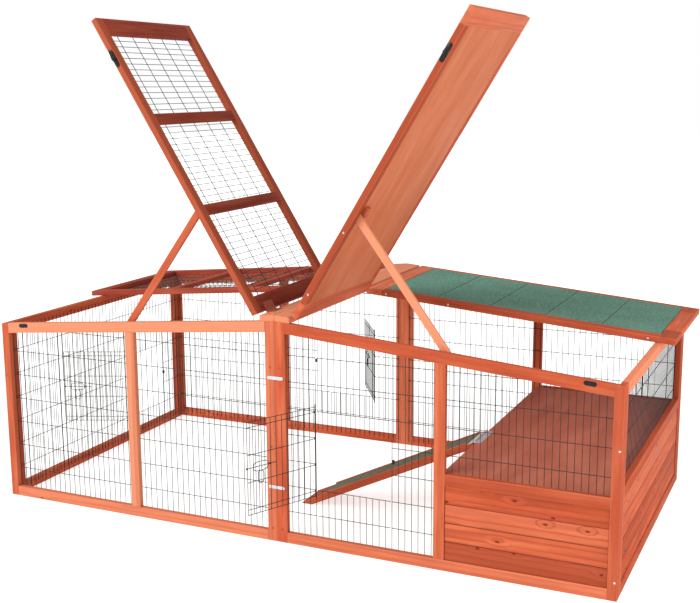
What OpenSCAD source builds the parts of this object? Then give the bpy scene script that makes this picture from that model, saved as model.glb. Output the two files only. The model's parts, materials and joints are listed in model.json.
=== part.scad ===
// Outdoor rabbit run: two halves of framed wire mesh under a shallow gabled roof. The front half of the
// roof is a pair of lids that hinge at the ridge and stand open on wooden props.
// X runs along the front, Y from front to back, Z up. The origin is on the ground, at the front face,
// where the two halves meet. Sizes are millimetres and angles are degrees.

/* [Run] */
// Length of one half, from the centre joint to its end
half_l = 1128; // [1000:1:1300]
// Depth from the front face to the back face
run_d = 1160; // [1000:1:1300]
// Height of the frames at the ridge
ridge_h = 755; // [700:1:850]
// Height of the frames at the two ends
end_h = 656; // [600:1:690]
// Clear width of the bay next to the centre
bay_w = 515; // [480:1:560]
// Height of the shelter's rail in the long frames, level with the upper floor
floor_rail_h = 318; // [290:1:360]
// Height of the shelter's rail in the end frame
end_rail_h = 338; // [300:1:380]

/* [Timber] */
// Face width of the framing battens
batten_w = 36; // [30:1:42]
// Thickness of the framing battens and roof boards
batten_t = 20; // [18:1:24]
// Face width of the posts at the two ends
end_post_w = 30; // [26:1:36]
// Width of the boards across the roof panels' ends
roof_board_w = 57; // [48:1:66]
// Number of planks under each rail of the shelter
plank_count = 4; // [3:1:6]
// Thickness of the planks
plank_t = 12; // [9:1:14]
// How far the planks sit back from the frame's face
plank_set_back = 4; // [2:1:6]
// Gap left at each butt joint
joint_gap = 0.2; // [0.1:0.05:0.5]

/* [Roof] */
// How far the roof reaches past each end
end_overhang = 50; // [20:1:80]
// How far the roof reaches past the back
back_overhang = 16; // [5:1:40]
// Depth of the lids, from the front
lid_d = 577; // [520:1:640]
// Gap between the lids and the fixed roof panels
roof_gap = 22; // [8:1:30]
// Width of each board of the ridge
ridge_board_w = 54; // [44:1:60]
// Gap under a closed lid
lid_seat_gap = 1; // [1:0.5:3]
// How far the lids stand open
lid_open = 63.4; // [50:0.1:75]
// Width of the felt's wooden border along the fixed panel's front
felt_front_w = 52; // [40:1:60]
// Width of the felt's wooden border along the fixed panel's back
felt_back_w = 21; // [16:1:40]
// Thickness of the roofing felt
felt_t = 3; // [2:0.5:4]
// Thickness of the roof's plywood
ply_t = 4; // [3:0.5:6]

/* [Wire mesh] */
// Thickness of the mesh wire
wire_d = 2; // [1.5:0.5:3]
// Distance between the level rows of wire
row_pitch = 89.4; // [80:0.1:100]
// Height of the lowest row of wire that shows
first_row = 104.5; // [90:0.5:120]
// Distance between the upright wires
upright_pitch = 22.35; // [20:0.05:25]
// Uprights of the fixed mesh are drawn one in this many
upright_share = 2; // [2:1:4]

/* [Doors] */
// Upright wires that a wire door spans
door_spans = 12; // [8:1:14]
// Rows of wire that a wire door spans
door_rows = 3; // [2:1:4]
// How far a door reaches past its opening, above and below
door_lap = 18.5; // [12:0.5:24]
// Distance of the front and back doors' hinges from the centre
door_x = 135.5; // [110:0.5:160]
// Distance of the left end's door hinge from the back
side_door_back = 430; // [380:1:560]
// How far the front door stands open
front_door_open = 116; // [90:1:150]
// How far the left end's door stands open
side_door_open = 113; // [90:1:150]
// How far the back door stands open
back_door_open = 58; // [40:1:100]
// Radius of the upright rod that a door turns on
rod_r = 1.5; // [1.25:0.25:2]
// Length of a door latch's oval loop
latch_loop_l = 60; // [40:1:64]
// Height of a door latch's oval loop
latch_loop_h = 32; // [28:1:44]
// Length of a door latch's hanging handle
latch_handle_l = 44; // [40:1:60]
// How far a door latch slides
latch_travel = 18; // [12:1:20]

/* [Props] */
// Distance of a prop's top from the lid's hinge
prop_top_r = 398; // [380:1:420]
// Distance of a prop's pivot from the centre joint
prop_foot_x = 586; // [570:1:600]
// Width of a prop
prop_w = 25; // [20:1:26]
// Thickness of a prop
prop_t = 12; // [8:1:12]
// Radius of a prop's pivot bolt
prop_bolt_r = 3; // [2:0.5:4]

/* [Floor and ramp] */
// Thickness of the upper floor
floor_t = 12; // [9:1:18]
// Width of the ramp
ramp_w = 140; // [120:1:180]
// Distance of the ramp from the front face
ramp_y = 350; // [250:1:420]
// Slope of the ramp
ramp_slope = 25.6; // [22:0.1:32]
// Bare wood left beyond the ramp's felt at its foot
ramp_bare_l = 86; // [40:1:110]

/* [Fittings] */
// Distance of a lid latch from the lid's outer end
latch_from_end = 150; // [110:1:220]
// Length of a lid latch's plate
latch_plate_l = 62; // [50:1:70]
// Length of a keeper on the front rail
keeper_l = 38; // [30:1:50]
// Length of a plate that joins the two halves
join_plate_l = 59; // [48:1:66]
// Height of a plate that joins the two halves
join_plate_h = 11; // [9:1:20]
// Length of a lid hinge
hinge_l = 60; // [40:1:80]
// Radius of a lid hinge's barrel
hinge_r = 4; // [3:0.5:5]

/* [Hidden] */
$fn = 32;

// Roof slope and the heights that follow from it
slope = atan2(ridge_h - end_h, half_l);
rail_drop = batten_w / cos(slope);
roof_rise = batten_t / cos(slope);
stile_x = batten_w + bay_w;
inner_end_x = half_l - end_post_w;
function top_z(x) = ridge_h - x * tan(slope);

// Lid hinge line, and the lid's own axes: r along it, t up from its top face
hinge_x = ridge_board_w + 6;
hinge_z = top_z(hinge_x) + (batten_t + lid_seat_gap) / cos(slope);
lid_rest = lid_open - slope;
lid_start = 6;
lid_end = (half_l + end_overhang - hinge_x) / cos(slope);
lid_pane = (lid_end - lid_start - 2 * roof_board_w - 2 * batten_w) / 3;
lid_hinge_inset = 95;
lid_hinges_y = [lid_hinge_inset, lid_d - lid_hinge_inset];
latch_r = lid_end - latch_from_end;

// Fixed roof panels
roof_y = lid_d + roof_gap;
roof_end_y = run_d + back_overhang;
roof_end_joint = 105;

// Mesh
mesh_y = batten_t + joint_gap;
mesh_lap = 16;
mesh_drop = 24;
shelf_lap = 12;
wide_pitch = upright_pitch * upright_share;
roof_row = 98;

// Doors
door_w = door_spans * upright_pitch;
door_h = door_rows * row_pitch + 2 * door_lap;
side_door_y = run_d - side_door_back;
main_row = first_row + row_pitch;
rod_y = batten_t - 4;
ring_r = rod_r + 1.7;
ring_h = 8;
run_clear = 0.08;
latch_wire = 2.5;
latch_gap = 0.3;
latch_y = -(wire_d / 2 + 0.4 + latch_wire / 2);
latch_z = (door_rows * row_pitch) / 2;
latch_guides = [8 * upright_pitch, door_w];
latch_guide_l = 5.6;
latch_x = door_w - latch_travel - latch_loop_l / 2 - 5;
latch_handle_w = 24;
catch_x = door_w + 7;

// Props, behind the front rails: from the pivot up to the underside of the open lid
prop_y = mesh_y + wire_d + 1.5;
prop_drop = prop_w / 2 + 1.5;
prop_pivot = [prop_foot_x, top_z(prop_foot_x) - prop_drop / cos(slope)];
prop_top = [hinge_x + prop_top_r * cos(lid_rest) + (batten_t + 0.3) * sin(lid_rest),
    hinge_z + prop_top_r * sin(lid_rest) - (batten_t + 0.3) * cos(lid_rest)];
prop_way = prop_top - prop_pivot;
prop_l = norm(prop_way);
prop_angle = atan2(prop_way[1], prop_way[0]);
prop_block_l = 36;
prop_block_w = 25;
prop_block_t = 14;
prop_bolt_sunk = 15;

// Upper floor and ramp
floor_top = floor_rail_h - 3;
floor_x = stile_x + 21;
floor_end_x = half_l - batten_t - joint_gap - wire_d - 1.5;
floor_front_y = mesh_y + wire_d + 1.5;
leaf_t = 1.5;
ramp_barrel_r = 3;
ramp_hinge_x = floor_x - 4;
ramp_hinge_z = floor_top + ramp_barrel_r;
ramp_leaf_w = 24;
ramp_start = 9;
ramp_tip = 3;
ramp_edge_w = 8;
ramp_edge_h = 6;
ramp_felt_x = ramp_leaf_w + 2;
ramp_foot = (ramp_hinge_z - (leaf_t + ramp_tip) * cos(ramp_slope)) / sin(ramp_slope);
ramp_heel = (ramp_hinge_z - (leaf_t + batten_t) * cos(ramp_slope)) / sin(ramp_slope);
ramp_felt_l = ramp_foot - ramp_bare_l - ramp_felt_x;

// Floor bearers
bearer_h = 36;
bearer_w = 20;

// Small fittings
pin_r = 1.5;
hinge_leaf_w = 28;
turn_r = 9;
turn_arm_l = 31;
turn_arm_w = 12;
plate_t = 2;
latch_plate_w = 16;
keeper_w = 14;
keeper_x = hinge_x + latch_r * cos(slope);
screw_r = 3.5;
screw_zs = [45, 330, 600];
post_screw_zs = [58, 462];
post_screw_in = 8.5;
lining_in = 0.5;
join_zs = [191, 565];
bolt_offset = 21;

wood = "#E06C40";
felt_green = "#567462";
ply_tan = "#C47A58";
wire_grey = "#3A3A3C";
steel = "#B8BAC0";
black_iron = "#1C1A1A";

// A flat shape drawn in x and z, given a thickness along y from y0
module upright(y0, t) {
    translate([0, y0 + t, 0]) rotate([90, 0, 0]) linear_extrude(t) children();
}

// A flat shape drawn in y and z, given a thickness along x from x0
module crosswise(x0, t) {
    translate([x0, 0, 0]) rotate([90, 0, 90]) linear_extrude(t) children();
}

// A cylinder about the y axis, from y0 to y1
module turned(r, y0, y1) { translate([0, y1, 0]) rotate([90, 0, 0]) cylinder(r = r, h = y1 - y0); }

module left() { mirror([1, 0, 0]) children(); }
module at_back() { translate([0, run_d, 0]) mirror([0, 1, 0]) children(); }
module bar(x0, x1, z0, z1) { translate([x0, z0]) square([x1 - x0, z1 - z0]); }

// A bar whose ends are half circles, centred and lying along x
module rounded_bar(l, h) {
    square([l - h, h], center = true);
    for (s = [-1, 1]) translate([s * (l - h) / 2, 0]) circle(d = h);
}

// A piece whose top edge follows the roof, lowered by drop
module under_roof(x0, x1, z0, drop) {
    polygon([[x0, z0], [x1, z0], [x1, top_z(x1) - drop], [x0, top_z(x0) - drop]]);
}

// Frames ---------------------------------------------------------------------------------------------

// The long frame of one half, drawn for the right half at the front
module half_frame(shelter) {
    g = joint_gap;
    upright(0, batten_t) under_roof(g / 2, batten_w, 0, 0);
    upright(0, batten_t) under_roof(inner_end_x, half_l, 0, 0);
    upright(0, batten_t) bar(batten_w + g, inner_end_x - g, 0, batten_w);
    upright(0, batten_t) polygon([for (p = [[0, 1], [1, 1], [1, 0], [0, 0]])
        let (x = p[0] == 0 ? batten_w + g : inner_end_x - g) [x, top_z(x) - p[1] * rail_drop]]);
    upright(0, batten_t) under_roof(stile_x, stile_x + batten_w, batten_w + g, rail_drop + g);
    if (shelter)
        upright(0, batten_t) bar(stile_x + batten_w + g, inner_end_x - g, floor_rail_h - batten_w,
            floor_rail_h);
}

// The frame across one end, drawn for the right end
module end_frame(shelter) {
    g = joint_gap;
    y0 = batten_t + g;
    y1 = run_d - batten_t - g;
    x0 = half_l - batten_t;
    for (y = [y0, y1 - batten_w]) crosswise(x0, batten_t) bar(y, y + batten_w, 0, end_h);
    for (z = concat([0, end_h - batten_w], shelter ? [end_rail_h - batten_w] : []))
        crosswise(x0, batten_t) bar(y0 + batten_w + g, y1 - batten_w - g, z, z + batten_w);
}

module prop_bore() {
    on_prop_pivot() turned(prop_bolt_r + run_clear, batten_t - prop_bolt_sunk, batten_t + 1);
}
module front_half_frame(shelter) {
    difference() {
        half_frame(shelter);
        prop_bore();
    }
}
module left_front_frame() { color(wood) left() front_half_frame(false); }
module right_front_frame() { color(wood) front_half_frame(true); }
module left_rear_frame() { color(wood) at_back() left() half_frame(false); }
module right_rear_frame() { color(wood) at_back() half_frame(true); }
module left_end_frame() { color(wood) left() end_frame(false); }
module right_end_frame() { color(wood) end_frame(true); }

module ridge_board() {
    upright(0, roof_end_y) polygon([[joint_gap / 2, top_z(0)], [ridge_board_w, top_z(ridge_board_w)],
        [ridge_board_w, top_z(ridge_board_w) + roof_rise], [joint_gap / 2, top_z(0) + roof_rise]]);
}
module ridge_boards() {
    color(wood) {
        ridge_board();
        left() ridge_board();
    }
}

// Planks from a0 to a1, up to the underside of a rail whose top is at rail_h
module plank_faces(a0, a1, rail_h) {
    h = (rail_h - 2 * batten_w) / plank_count;
    for (i = [0 : plank_count - 1])
        bar(a0 + joint_gap, a1 - joint_gap, batten_w + i * h + joint_gap,
            batten_w + (i + 1) * h - joint_gap);
}
module long_planks() {
    upright(plank_set_back, plank_t) plank_faces(stile_x + batten_w, inner_end_x, floor_rail_h);
}
module front_planks() { color(wood) long_planks(); }
module rear_planks() { color(wood) at_back() long_planks(); }
module end_planks() {
    color(wood) crosswise(half_l - plank_set_back - plank_t, plank_t)
        plank_faces(batten_t + joint_gap + batten_w, run_d - batten_t - joint_gap - batten_w, end_rail_h);
}

// Wire mesh ------------------------------------------------------------------------------------------

function lines(lo, hi, ref, step) =
    [for (k = [ceil((lo + 6 - ref) / step) : floor((hi - 6 - ref) / step)]) ref + k * step];
function edge_z(ends, x0, x1, x) = ends[0] + (ends[1] - ends[0]) * (x - x0) / (x1 - x0);

// A flat panel of crossing wires from x0 to x1 and from z0 up to ends, its heights at x0 and x1
module wire_panel(x0, x1, z0, ends, ref_x, step_x, ref_z, step_z) {
    h = wire_d / 2;
    xs = concat([x0 + h], lines(x0, x1, ref_x, step_x), [x1 - h]);
    zs = concat([z0 + h], lines(z0, max(ends), ref_z, step_z), [max(ends) + step_z]);
    holes = [for (i = [0 : len(xs) - 2]) for (j = [0 : len(zs) - 2])
        let (a = xs[i] + h, b = xs[i + 1] - h, c = zs[j] + h,
            ta = min(zs[j + 1] - h, edge_z(ends, x0, x1, a) - wire_d),
            tb = min(zs[j + 1] - h, edge_z(ends, x0, x1, b) - wire_d))
        if (ta - c > wire_d && tb - c > wire_d) [[a, c], [b, c], [b, tb], [a, ta]]];
    outer = [[x0, z0], [x1, z0], [x1, ends[1]], [x0, ends[0]]];
    linear_extrude(wire_d) polygon(concat(outer, [for (q = holes) each q]),
        concat([[0, 1, 2, 3]], [for (i = [0 : len(holes) - 1]) [for (k = [0 : 3]) 4 + 4 * i + k]]));
}

// Mesh of a long frame: it lies against the frame's inner face
module long_mesh(x0, x1, z0, z1) {
    ends = z1 == 0 ? [top_z(x0) - mesh_drop, top_z(x1) - mesh_drop] : [z1, z1];
    translate([0, mesh_y + wire_d, 0]) rotate([90, 0, 0])
        wire_panel(x0, x1, z0, ends, door_x, wide_pitch, first_row, row_pitch);
}
mesh_x0 = batten_w - mesh_lap;
mesh_x1 = half_l - batten_t - 2;
module long_mesh_plain() { long_mesh(mesh_x0, mesh_x1, mesh_lap, 0); }

// Four patches round a doorway between two rows of wire, low being the lower of them
module long_mesh_doorway(x1, low) {
    g = joint_gap / 2;
    long_mesh(mesh_x0, door_x - g, mesh_lap, 0);
    long_mesh(door_x + door_w + g, x1, mesh_lap, 0);
    long_mesh(door_x + g, door_x + door_w - g, mesh_lap, low + wire_d / 2);
    long_mesh(door_x + g, door_x + door_w - g, low + door_rows * row_pitch - wire_d / 2, 0);
}
module long_mesh_upper() {
    long_mesh(stile_x + batten_w / 2 + joint_gap, mesh_x1, floor_rail_h - shelf_lap, 0);
}
module left_front_mesh() { color(wire_grey) left() long_mesh_plain(); }
module right_front_mesh() {
    color(wire_grey) {
        long_mesh_doorway(stile_x + batten_w / 2, main_row);
        long_mesh_upper();
    }
}
module left_rear_mesh() { color(wire_grey) at_back() left() long_mesh_doorway(mesh_x1, main_row); }
module right_rear_mesh() {
    color(wire_grey) at_back() {
        long_mesh(mesh_x0, stile_x + batten_w / 2, mesh_lap, 0);
        long_mesh_upper();
    }
}

// Mesh of an end frame, drawn for the right end
module side_mesh(y0, y1, z0, z1) {
    translate([half_l - batten_t - joint_gap - wire_d, 0, 0]) rotate([90, 0, 90])
        wire_panel(y0, y1, z0, [z1, z1], side_door_y, wide_pitch, first_row, row_pitch);
}
side_y0 = batten_t + joint_gap + batten_w - mesh_lap;
side_y1 = run_d - side_y0;
side_top = end_h - batten_w + mesh_lap;
module right_end_mesh() { color(wire_grey) side_mesh(side_y0, side_y1, end_rail_h - mesh_lap, side_top); }
module left_end_mesh() {
    g = joint_gap / 2;
    high = first_row + door_rows * row_pitch;
    color(wire_grey) left() {
        side_mesh(side_y0, side_door_y - g, mesh_lap, side_top);
        side_mesh(side_door_y + door_w + g, side_y1, mesh_lap, side_top);
        side_mesh(side_door_y + g, side_door_y + door_w - g, mesh_lap, first_row + wire_d / 2);
        side_mesh(side_door_y + g, side_door_y + door_w - g, high - wire_d / 2, side_top);
    }
}

// Fixed roof -----------------------------------------------------------------------------------------

// The roof panels' own axes: x down the slope from the ridge boards' edge, y back, z up from the top face
module on_roof() {
    translate([hinge_x, 0, hinge_z - lid_seat_gap / cos(slope)]) rotate([0, slope, 0]) children();
}
module slab(r0, r1, y0, y1, t0, t1) { translate([r0, y0, t0]) cube([r1 - r0, y1 - y0, t1 - t0]); }

// Two cross rails that part a panel into three panes; the mesh passes under them
module cross_rails(y0, y1) {
    for (i = [1, 2]) {
        r = lid_start + roof_board_w + i * lid_pane + (i - 1) * batten_w;
        slab(r + joint_gap, r + batten_w - joint_gap, y0, y1, -batten_t + wire_d + 2 * joint_gap, 0);
    }
}

// A framed panel from y0 to y1, its long stiles front_w and back_w wide
module panel_frame(y0, y1, front_w, back_w, stiles_through) {
    g = joint_gap;
    a = stiles_through ? 0 : roof_board_w + g;
    b = stiles_through ? g : 0;
    slab(lid_start + a, lid_end - a, y0, y0 + front_w, -batten_t, 0);
    slab(lid_start + a, lid_end - a, y1 - back_w, y1, -batten_t, 0);
    for (r = [lid_start, lid_end - roof_board_w])
        slab(r, r + roof_board_w, y0 + (stiles_through ? front_w + g : 0),
            y1 - (stiles_through ? back_w + g : 0), -batten_t, 0);
}

// The mesh of a panel from y0 to y1, let in flush with the underside of its frame
module panel_mesh(y0, y1) {
    g = joint_gap;
    ya = y0 + batten_w + g;
    yb = y1 - batten_w - g;
    translate([0, 0, g - batten_t])
        wire_panel(lid_start + roof_board_w + g, lid_end - roof_board_w - g, ya, [yb, yb],
            lid_start + roof_board_w, wide_pitch, y0 + roof_row, row_pitch);
}

module left_roof_frame() {
    color(wood) left() on_roof() {
        panel_frame(roof_y, roof_end_y, batten_w, batten_w, true);
        cross_rails(roof_y + batten_w + joint_gap, roof_end_y - batten_w - joint_gap);
    }
}
module left_roof_mesh() { color(wire_grey) left() on_roof() panel_mesh(roof_y, roof_end_y); }

module right_roof_frame() {
    g = joint_gap;
    // The end board lies in three lengths
    cuts = [roof_y, roof_y + felt_front_w + roof_end_joint - 24, roof_end_y - roof_end_joint, roof_end_y];
    color(wood) on_roof() {
        slab(lid_start, lid_start + roof_board_w, roof_y, roof_end_y, -batten_t, 0);
        for (i = [0 : 2])
            slab(lid_end - roof_board_w, lid_end, cuts[i] + g, cuts[i + 1] - g, -batten_t, 0);
        slab(lid_start + roof_board_w + g, lid_end - roof_board_w - g, roof_y, roof_y + felt_front_w,
            -batten_t, 0);
        slab(lid_start + roof_board_w + g, lid_end - roof_board_w - g, roof_end_y - felt_back_w,
            roof_end_y, -batten_t, 0);
    }
}

// Plywood inside a panel's frame, its upper face at top
module ply_sheet(y0, y1, top) {
    slab(lid_start + roof_board_w + joint_gap, lid_end - roof_board_w - joint_gap, y0 + joint_gap,
        y1 - joint_gap, top - ply_t, top);
}
module felt_sheet(y0, y1) {
    e = 1.5;
    slab(lid_start + roof_board_w + e, lid_end - roof_board_w - e, y0 + e, y1 - e, -felt_t - 1, -1);
}
module right_roof_ply() {
    color(ply_tan) on_roof() ply_sheet(roof_y + felt_front_w, roof_end_y - felt_back_w, -felt_t - 1);
}
module right_roof_felt() {
    color(felt_green) on_roof() felt_sheet(roof_y + felt_front_w, roof_end_y - felt_back_w);
}

// Lids -----------------------------------------------------------------------------------------------

// A lid's own axes as it stands open, drawn for the right lid
module on_lid() { translate([hinge_x, 0, hinge_z]) rotate([0, -lid_rest, 0]) children(); }

module left_lid_frame() {
    color(wood) left() on_lid() {
        panel_frame(0, lid_d, batten_w, batten_w, true);
        cross_rails(batten_w + joint_gap, lid_d - batten_w - joint_gap);
    }
}
module left_lid_mesh() { color(wire_grey) left() on_lid() panel_mesh(0, lid_d); }
module right_lid_frame() { color(wood) on_lid() panel_frame(0, lid_d, batten_w, batten_w, false); }
// One sheet under the felt and one that lines the underside, level with the frame
module right_lid_ply() {
    color(ply_tan) on_lid() for (top = [-felt_t - 1, lining_in + ply_t - batten_t])
        ply_sheet(batten_w, lid_d - batten_w, top);
}
module right_lid_felt() { color(felt_green) on_lid() felt_sheet(batten_w, lid_d - batten_w); }

// Lid hinges: the fixed leaves, the lids' leaves and the pins that join them
knuckle_l = hinge_l / 3;
module each_hinge() { for (y = lid_hinges_y) translate([0, y, 0]) children(); }
module knuckle(y, l, r, bore) {
    difference() {
        turned(r, y, y + l);
        turned(bore, y - 1, y + l + 1);
    }
}
module ridge_leaf() {
    z0 = -lid_seat_gap;
    for (y = [-hinge_l / 2, hinge_l / 2 - knuckle_l])
        knuckle(y, knuckle_l - joint_gap, hinge_r, pin_r + run_clear);
    difference() {
        translate([-hinge_leaf_w, -hinge_l / 2, z0]) cube([hinge_leaf_w, hinge_l - joint_gap, leaf_t]);
        turned(hinge_r + 0.4, -knuckle_l / 2 - joint_gap, knuckle_l / 2);
        turned(pin_r + run_clear, -hinge_l, hinge_l);
    }
}
module lid_leaf() {
    difference() {
        union() {
            turned(hinge_r, -knuckle_l / 2, knuckle_l / 2 - joint_gap);
            translate([0, -knuckle_l / 2, 0]) cube([hinge_r + 1, knuckle_l - joint_gap, leaf_t]);
            translate([hinge_r + 1, -hinge_l / 2, 0]) cube([hinge_leaf_w, hinge_l - joint_gap, leaf_t]);
        }
        turned(pin_r + run_clear, -hinge_l, hinge_l);
    }
}
module at_lid_hinge() { translate([hinge_x, 0, hinge_z]) rotate([0, slope, 0]) children(); }
module ridge_hinge_leaves() {
    color(steel) {
        at_lid_hinge() each_hinge() ridge_leaf();
        left() at_lid_hinge() each_hinge() ridge_leaf();
    }
}
module lid_hinge_pin() { turned(pin_r, -hinge_l / 2, hinge_l / 2); }
module lid_hinge_pins() {
    color(steel) {
        at_lid_hinge() each_hinge() lid_hinge_pin();
        left() at_lid_hinge() each_hinge() lid_hinge_pin();
    }
}
module right_lid_hinges() { color(steel) on_lid() each_hinge() lid_leaf(); }
module left_lid_hinges() { color(steel) left() on_lid() each_hinge() lid_leaf(); }

// Props ----------------------------------------------------------------------------------------------

module on_prop_pivot() { translate([prop_pivot[0], 0, prop_pivot[1]]) children(); }

// A stick with a round lower end, its top cut to the underside of the open lid
module prop() {
    difference() {
        on_prop_pivot() rotate([0, -prop_angle, 0]) union() {
            turned(prop_w / 2, prop_y, prop_y + prop_t);
            translate([0, prop_y, -prop_w / 2]) cube([prop_l + prop_w, prop_t, prop_w]);
        }
        on_prop_pivot() turned(prop_bolt_r + run_clear, 0, batten_w * 2);
        on_lid() slab(0, lid_end, 0, batten_w * 2, -batten_t - 0.3, batten_w * 2);
    }
}
module left_prop() { color(wood) left() prop(); }
module right_prop() { color(wood) prop(); }

// The bolt that a prop turns on: sunk in the front rail, with a spacer and a head
module prop_bolt() {
    on_prop_pivot() {
        turned(prop_bolt_r, batten_t - prop_bolt_sunk, prop_y + prop_t + 1);
        turned(prop_bolt_r * 2, mesh_y, prop_y - joint_gap);
        turned(prop_bolt_r * 2, prop_y + prop_t + joint_gap, prop_y + prop_t + 3);
    }
}
module prop_bolts() {
    color(steel) {
        prop_bolt();
        left() prop_bolt();
    }
}

// The block that a prop's top stands against
module prop_block() {
    slab(prop_top_r + 4, prop_top_r + 4 + prop_block_l, batten_w + 1, batten_w + 1 + prop_block_w,
        -batten_t - joint_gap - prop_block_t, -batten_t - joint_gap);
}
module left_prop_block() { color(wood) left() on_lid() prop_block(); }
module right_prop_block() { color(wood) on_lid() prop_block(); }

// Lid latches ----------------------------------------------------------------------------------------

// A plate on the edge of the lid, with the stud that the turn button swings on
module latch_plate() {
    on_lid() {
        slab(latch_r - latch_plate_l / 2, latch_r + latch_plate_l / 2, -plate_t, 0,
            -(batten_t + latch_plate_w) / 2, -(batten_t - latch_plate_w) / 2);
        translate([latch_r, 0, -batten_t / 2]) {
            turned(3, -7.5, -plate_t / 2);
            turned(4.5, -8.5, -7);
        }
    }
}
module latch_turn() {
    on_lid() translate([latch_r, 0, -batten_t / 2]) difference() {
        union() {
            turned(turn_r, -6.5, -2.5);
            translate([0, -6.5, -turn_arm_w / 2]) cube([turn_arm_l, 4, turn_arm_w]);
        }
        turned(3 + run_clear, -8, -1);
    }
}
module left_latch_plate() { color(black_iron) left() latch_plate(); }
module right_latch_plate() { color(black_iron) latch_plate(); }
module left_latch_turn() { color(black_iron) left() latch_turn(); }
module right_latch_turn() { color(black_iron) latch_turn(); }

// The keeper plates on the front rails that the turn buttons close over
module lid_keeper() {
    translate([keeper_x, 0, top_z(keeper_x)]) rotate([0, slope, 0])
        translate([0, 0, -keeper_w / 2 - 3]) upright(-plate_t, plate_t) rounded_bar(keeper_l, keeper_w);
}
module lid_keepers() {
    color(black_iron) {
        lid_keeper();
        left() lid_keeper();
    }
}

// Wire doors -----------------------------------------------------------------------------------------

// A door's own axes: hinge rod along z, the closed door along x, its outer side towards -y
module at_front_door() { translate([door_x, rod_y, main_row]) children(); }
module at_rear_door() { at_back() left() at_front_door() children(); }
module at_side_door() {
    left() translate([half_l - rod_y, side_door_y, first_row]) rotate([0, 0, 90]) children();
}
module along_z(r, z0, z1) { translate([0, 0, z0]) cylinder(r = r, h = z1 - z0); }
module along_x(r, x0, x1) { translate([x0, 0, 0]) rotate([0, 90, 0]) cylinder(r = r, h = x1 - x0); }

module door() {
    rows = [for (i = [0 : door_rows]) i * row_pitch];
    x0 = ring_r + 1;
    z1 = door_h - door_lap;
    difference() {
        union() {
            translate([0, wire_d / 2, 0]) rotate([90, 0, 0])
                wire_panel(x0, door_w + wire_d / 2, -door_lap, [z1, z1], 0, upright_pitch, 0, row_pitch);
            for (z = rows) {
                along_z(ring_r, z - ring_h / 2, z + ring_h / 2);
                translate([0, -wire_d / 2, z - ring_h / 2]) cube([x0 + wire_d / 2, wire_d, ring_h]);
            }
            for (x = latch_guides)
                translate([x - latch_guide_l / 2, latch_y, latch_z])
                    along_x(latch_wire / 2 + latch_gap + 1.55, 0, latch_guide_l);
        }
        along_z(rod_r + run_clear, -door_lap - 1, z1 + 1);
        translate([0, latch_y, latch_z]) along_x(latch_wire / 2 + latch_gap, 0, door_w + 20);
    }
}

// The upright rod of a door, pegged to the mesh, with a collar under the lowest ring
module door_rod() {
    z0 = -door_lap - 6;
    z1 = door_h - door_lap + 6;
    along_z(rod_r, z0, z1);
    for (z = [z0 + rod_r, z1 - rod_r]) translate([0, 0, z]) turned(rod_r, 0, mesh_y - rod_y);
    along_z(rod_r + 1.2, -ring_h / 2 - 2.5, -ring_h / 2 - 0.5);
}
module door_rods() {
    color(wire_grey) {
        at_front_door() door_rod();
        at_rear_door() door_rod();
        at_side_door() door_rod();
    }
}

// The catch beside a doorway: a base against the mesh and a bow of wire that the latch slides into
module door_catch() {
    r = latch_wire / 2;
    reach = latch_y - 2 * r - 0.8;
    w = latch_wire + 1.5;
    translate([catch_x, 0, latch_z]) {
        translate([0.5 - 7, mesh_y - rod_y - 1, -2 * w]) cube([10, 1, 4 * w]);
        for (s = [-1, 1]) translate([0, 0, s * w]) turned(r, reach, mesh_y - rod_y - 0.5);
        translate([0, reach, 0]) along_z(r, -w - r, w + r);
    }
}
module door_catches() {
    color(wire_grey) {
        at_front_door() door_catch();
        at_rear_door() door_catch();
        at_side_door() door_catch();
    }
}

// A door's latch: a bolt that slides in two guides, with an oval loop and a hanging handle
module door_latch() {
    t = latch_wire;
    translate([0, 0, latch_z]) {
        translate([0, latch_y, 0]) along_x(t / 2, 7 * upright_pitch, door_w + 1);
        translate([latch_x, 0, 0]) upright(latch_y - t / 2, t) {
            difference() {
                rounded_bar(latch_loop_l, latch_loop_h);
                rounded_bar(latch_loop_l - 2 * t, latch_loop_h - 2 * t);
            }
            translate([0, -latch_loop_h / 2 - latch_handle_l / 2 + t]) rotate(90) difference() {
                rounded_bar(latch_handle_l, latch_handle_w);
                rounded_bar(latch_handle_l - 2 * t, latch_handle_w - 2 * t);
            }
        }
    }
}

module front_door() { color(wire_grey) at_front_door() rotate([0, 0, -front_door_open]) door(); }
module front_door_latch() { color(wire_grey) at_front_door() rotate([0, 0, -front_door_open]) door_latch(); }
module left_door() { color(wire_grey) at_side_door() rotate([0, 0, -side_door_open]) door(); }
module left_door_latch() { color(wire_grey) at_side_door() rotate([0, 0, -side_door_open]) door_latch(); }
module rear_door() { color(wire_grey) at_rear_door() rotate([0, 0, -back_door_open]) door(); }
module rear_door_latch() { color(wire_grey) at_rear_door() rotate([0, 0, -back_door_open]) door_latch(); }

// Upper floor and ramp -------------------------------------------------------------------------------

module upper_floor() {
    color(ply_tan) translate([floor_x, floor_front_y, floor_top - floor_t])
        cube([floor_end_x - floor_x, run_d - 2 * floor_front_y, floor_t]);
}

// Battens under the floor's edges, fixed to the frames
module floor_bearers() {
    g = joint_gap;
    z = floor_top - floor_t - bearer_h;
    x1 = half_l - batten_t - g;
    y0 = batten_t + g;
    color(wood) {
        for (y = [y0, run_d - y0 - bearer_w])
            translate([floor_x, y, z]) cube([x1 - floor_x, bearer_w, bearer_h]);
        for (x = [floor_x, x1 - bearer_w]) translate([x, y0 + bearer_w + g, z])
            cube([bearer_w, run_d - 2 * (y0 + bearer_w + g), bearer_h]);
    }
}

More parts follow.
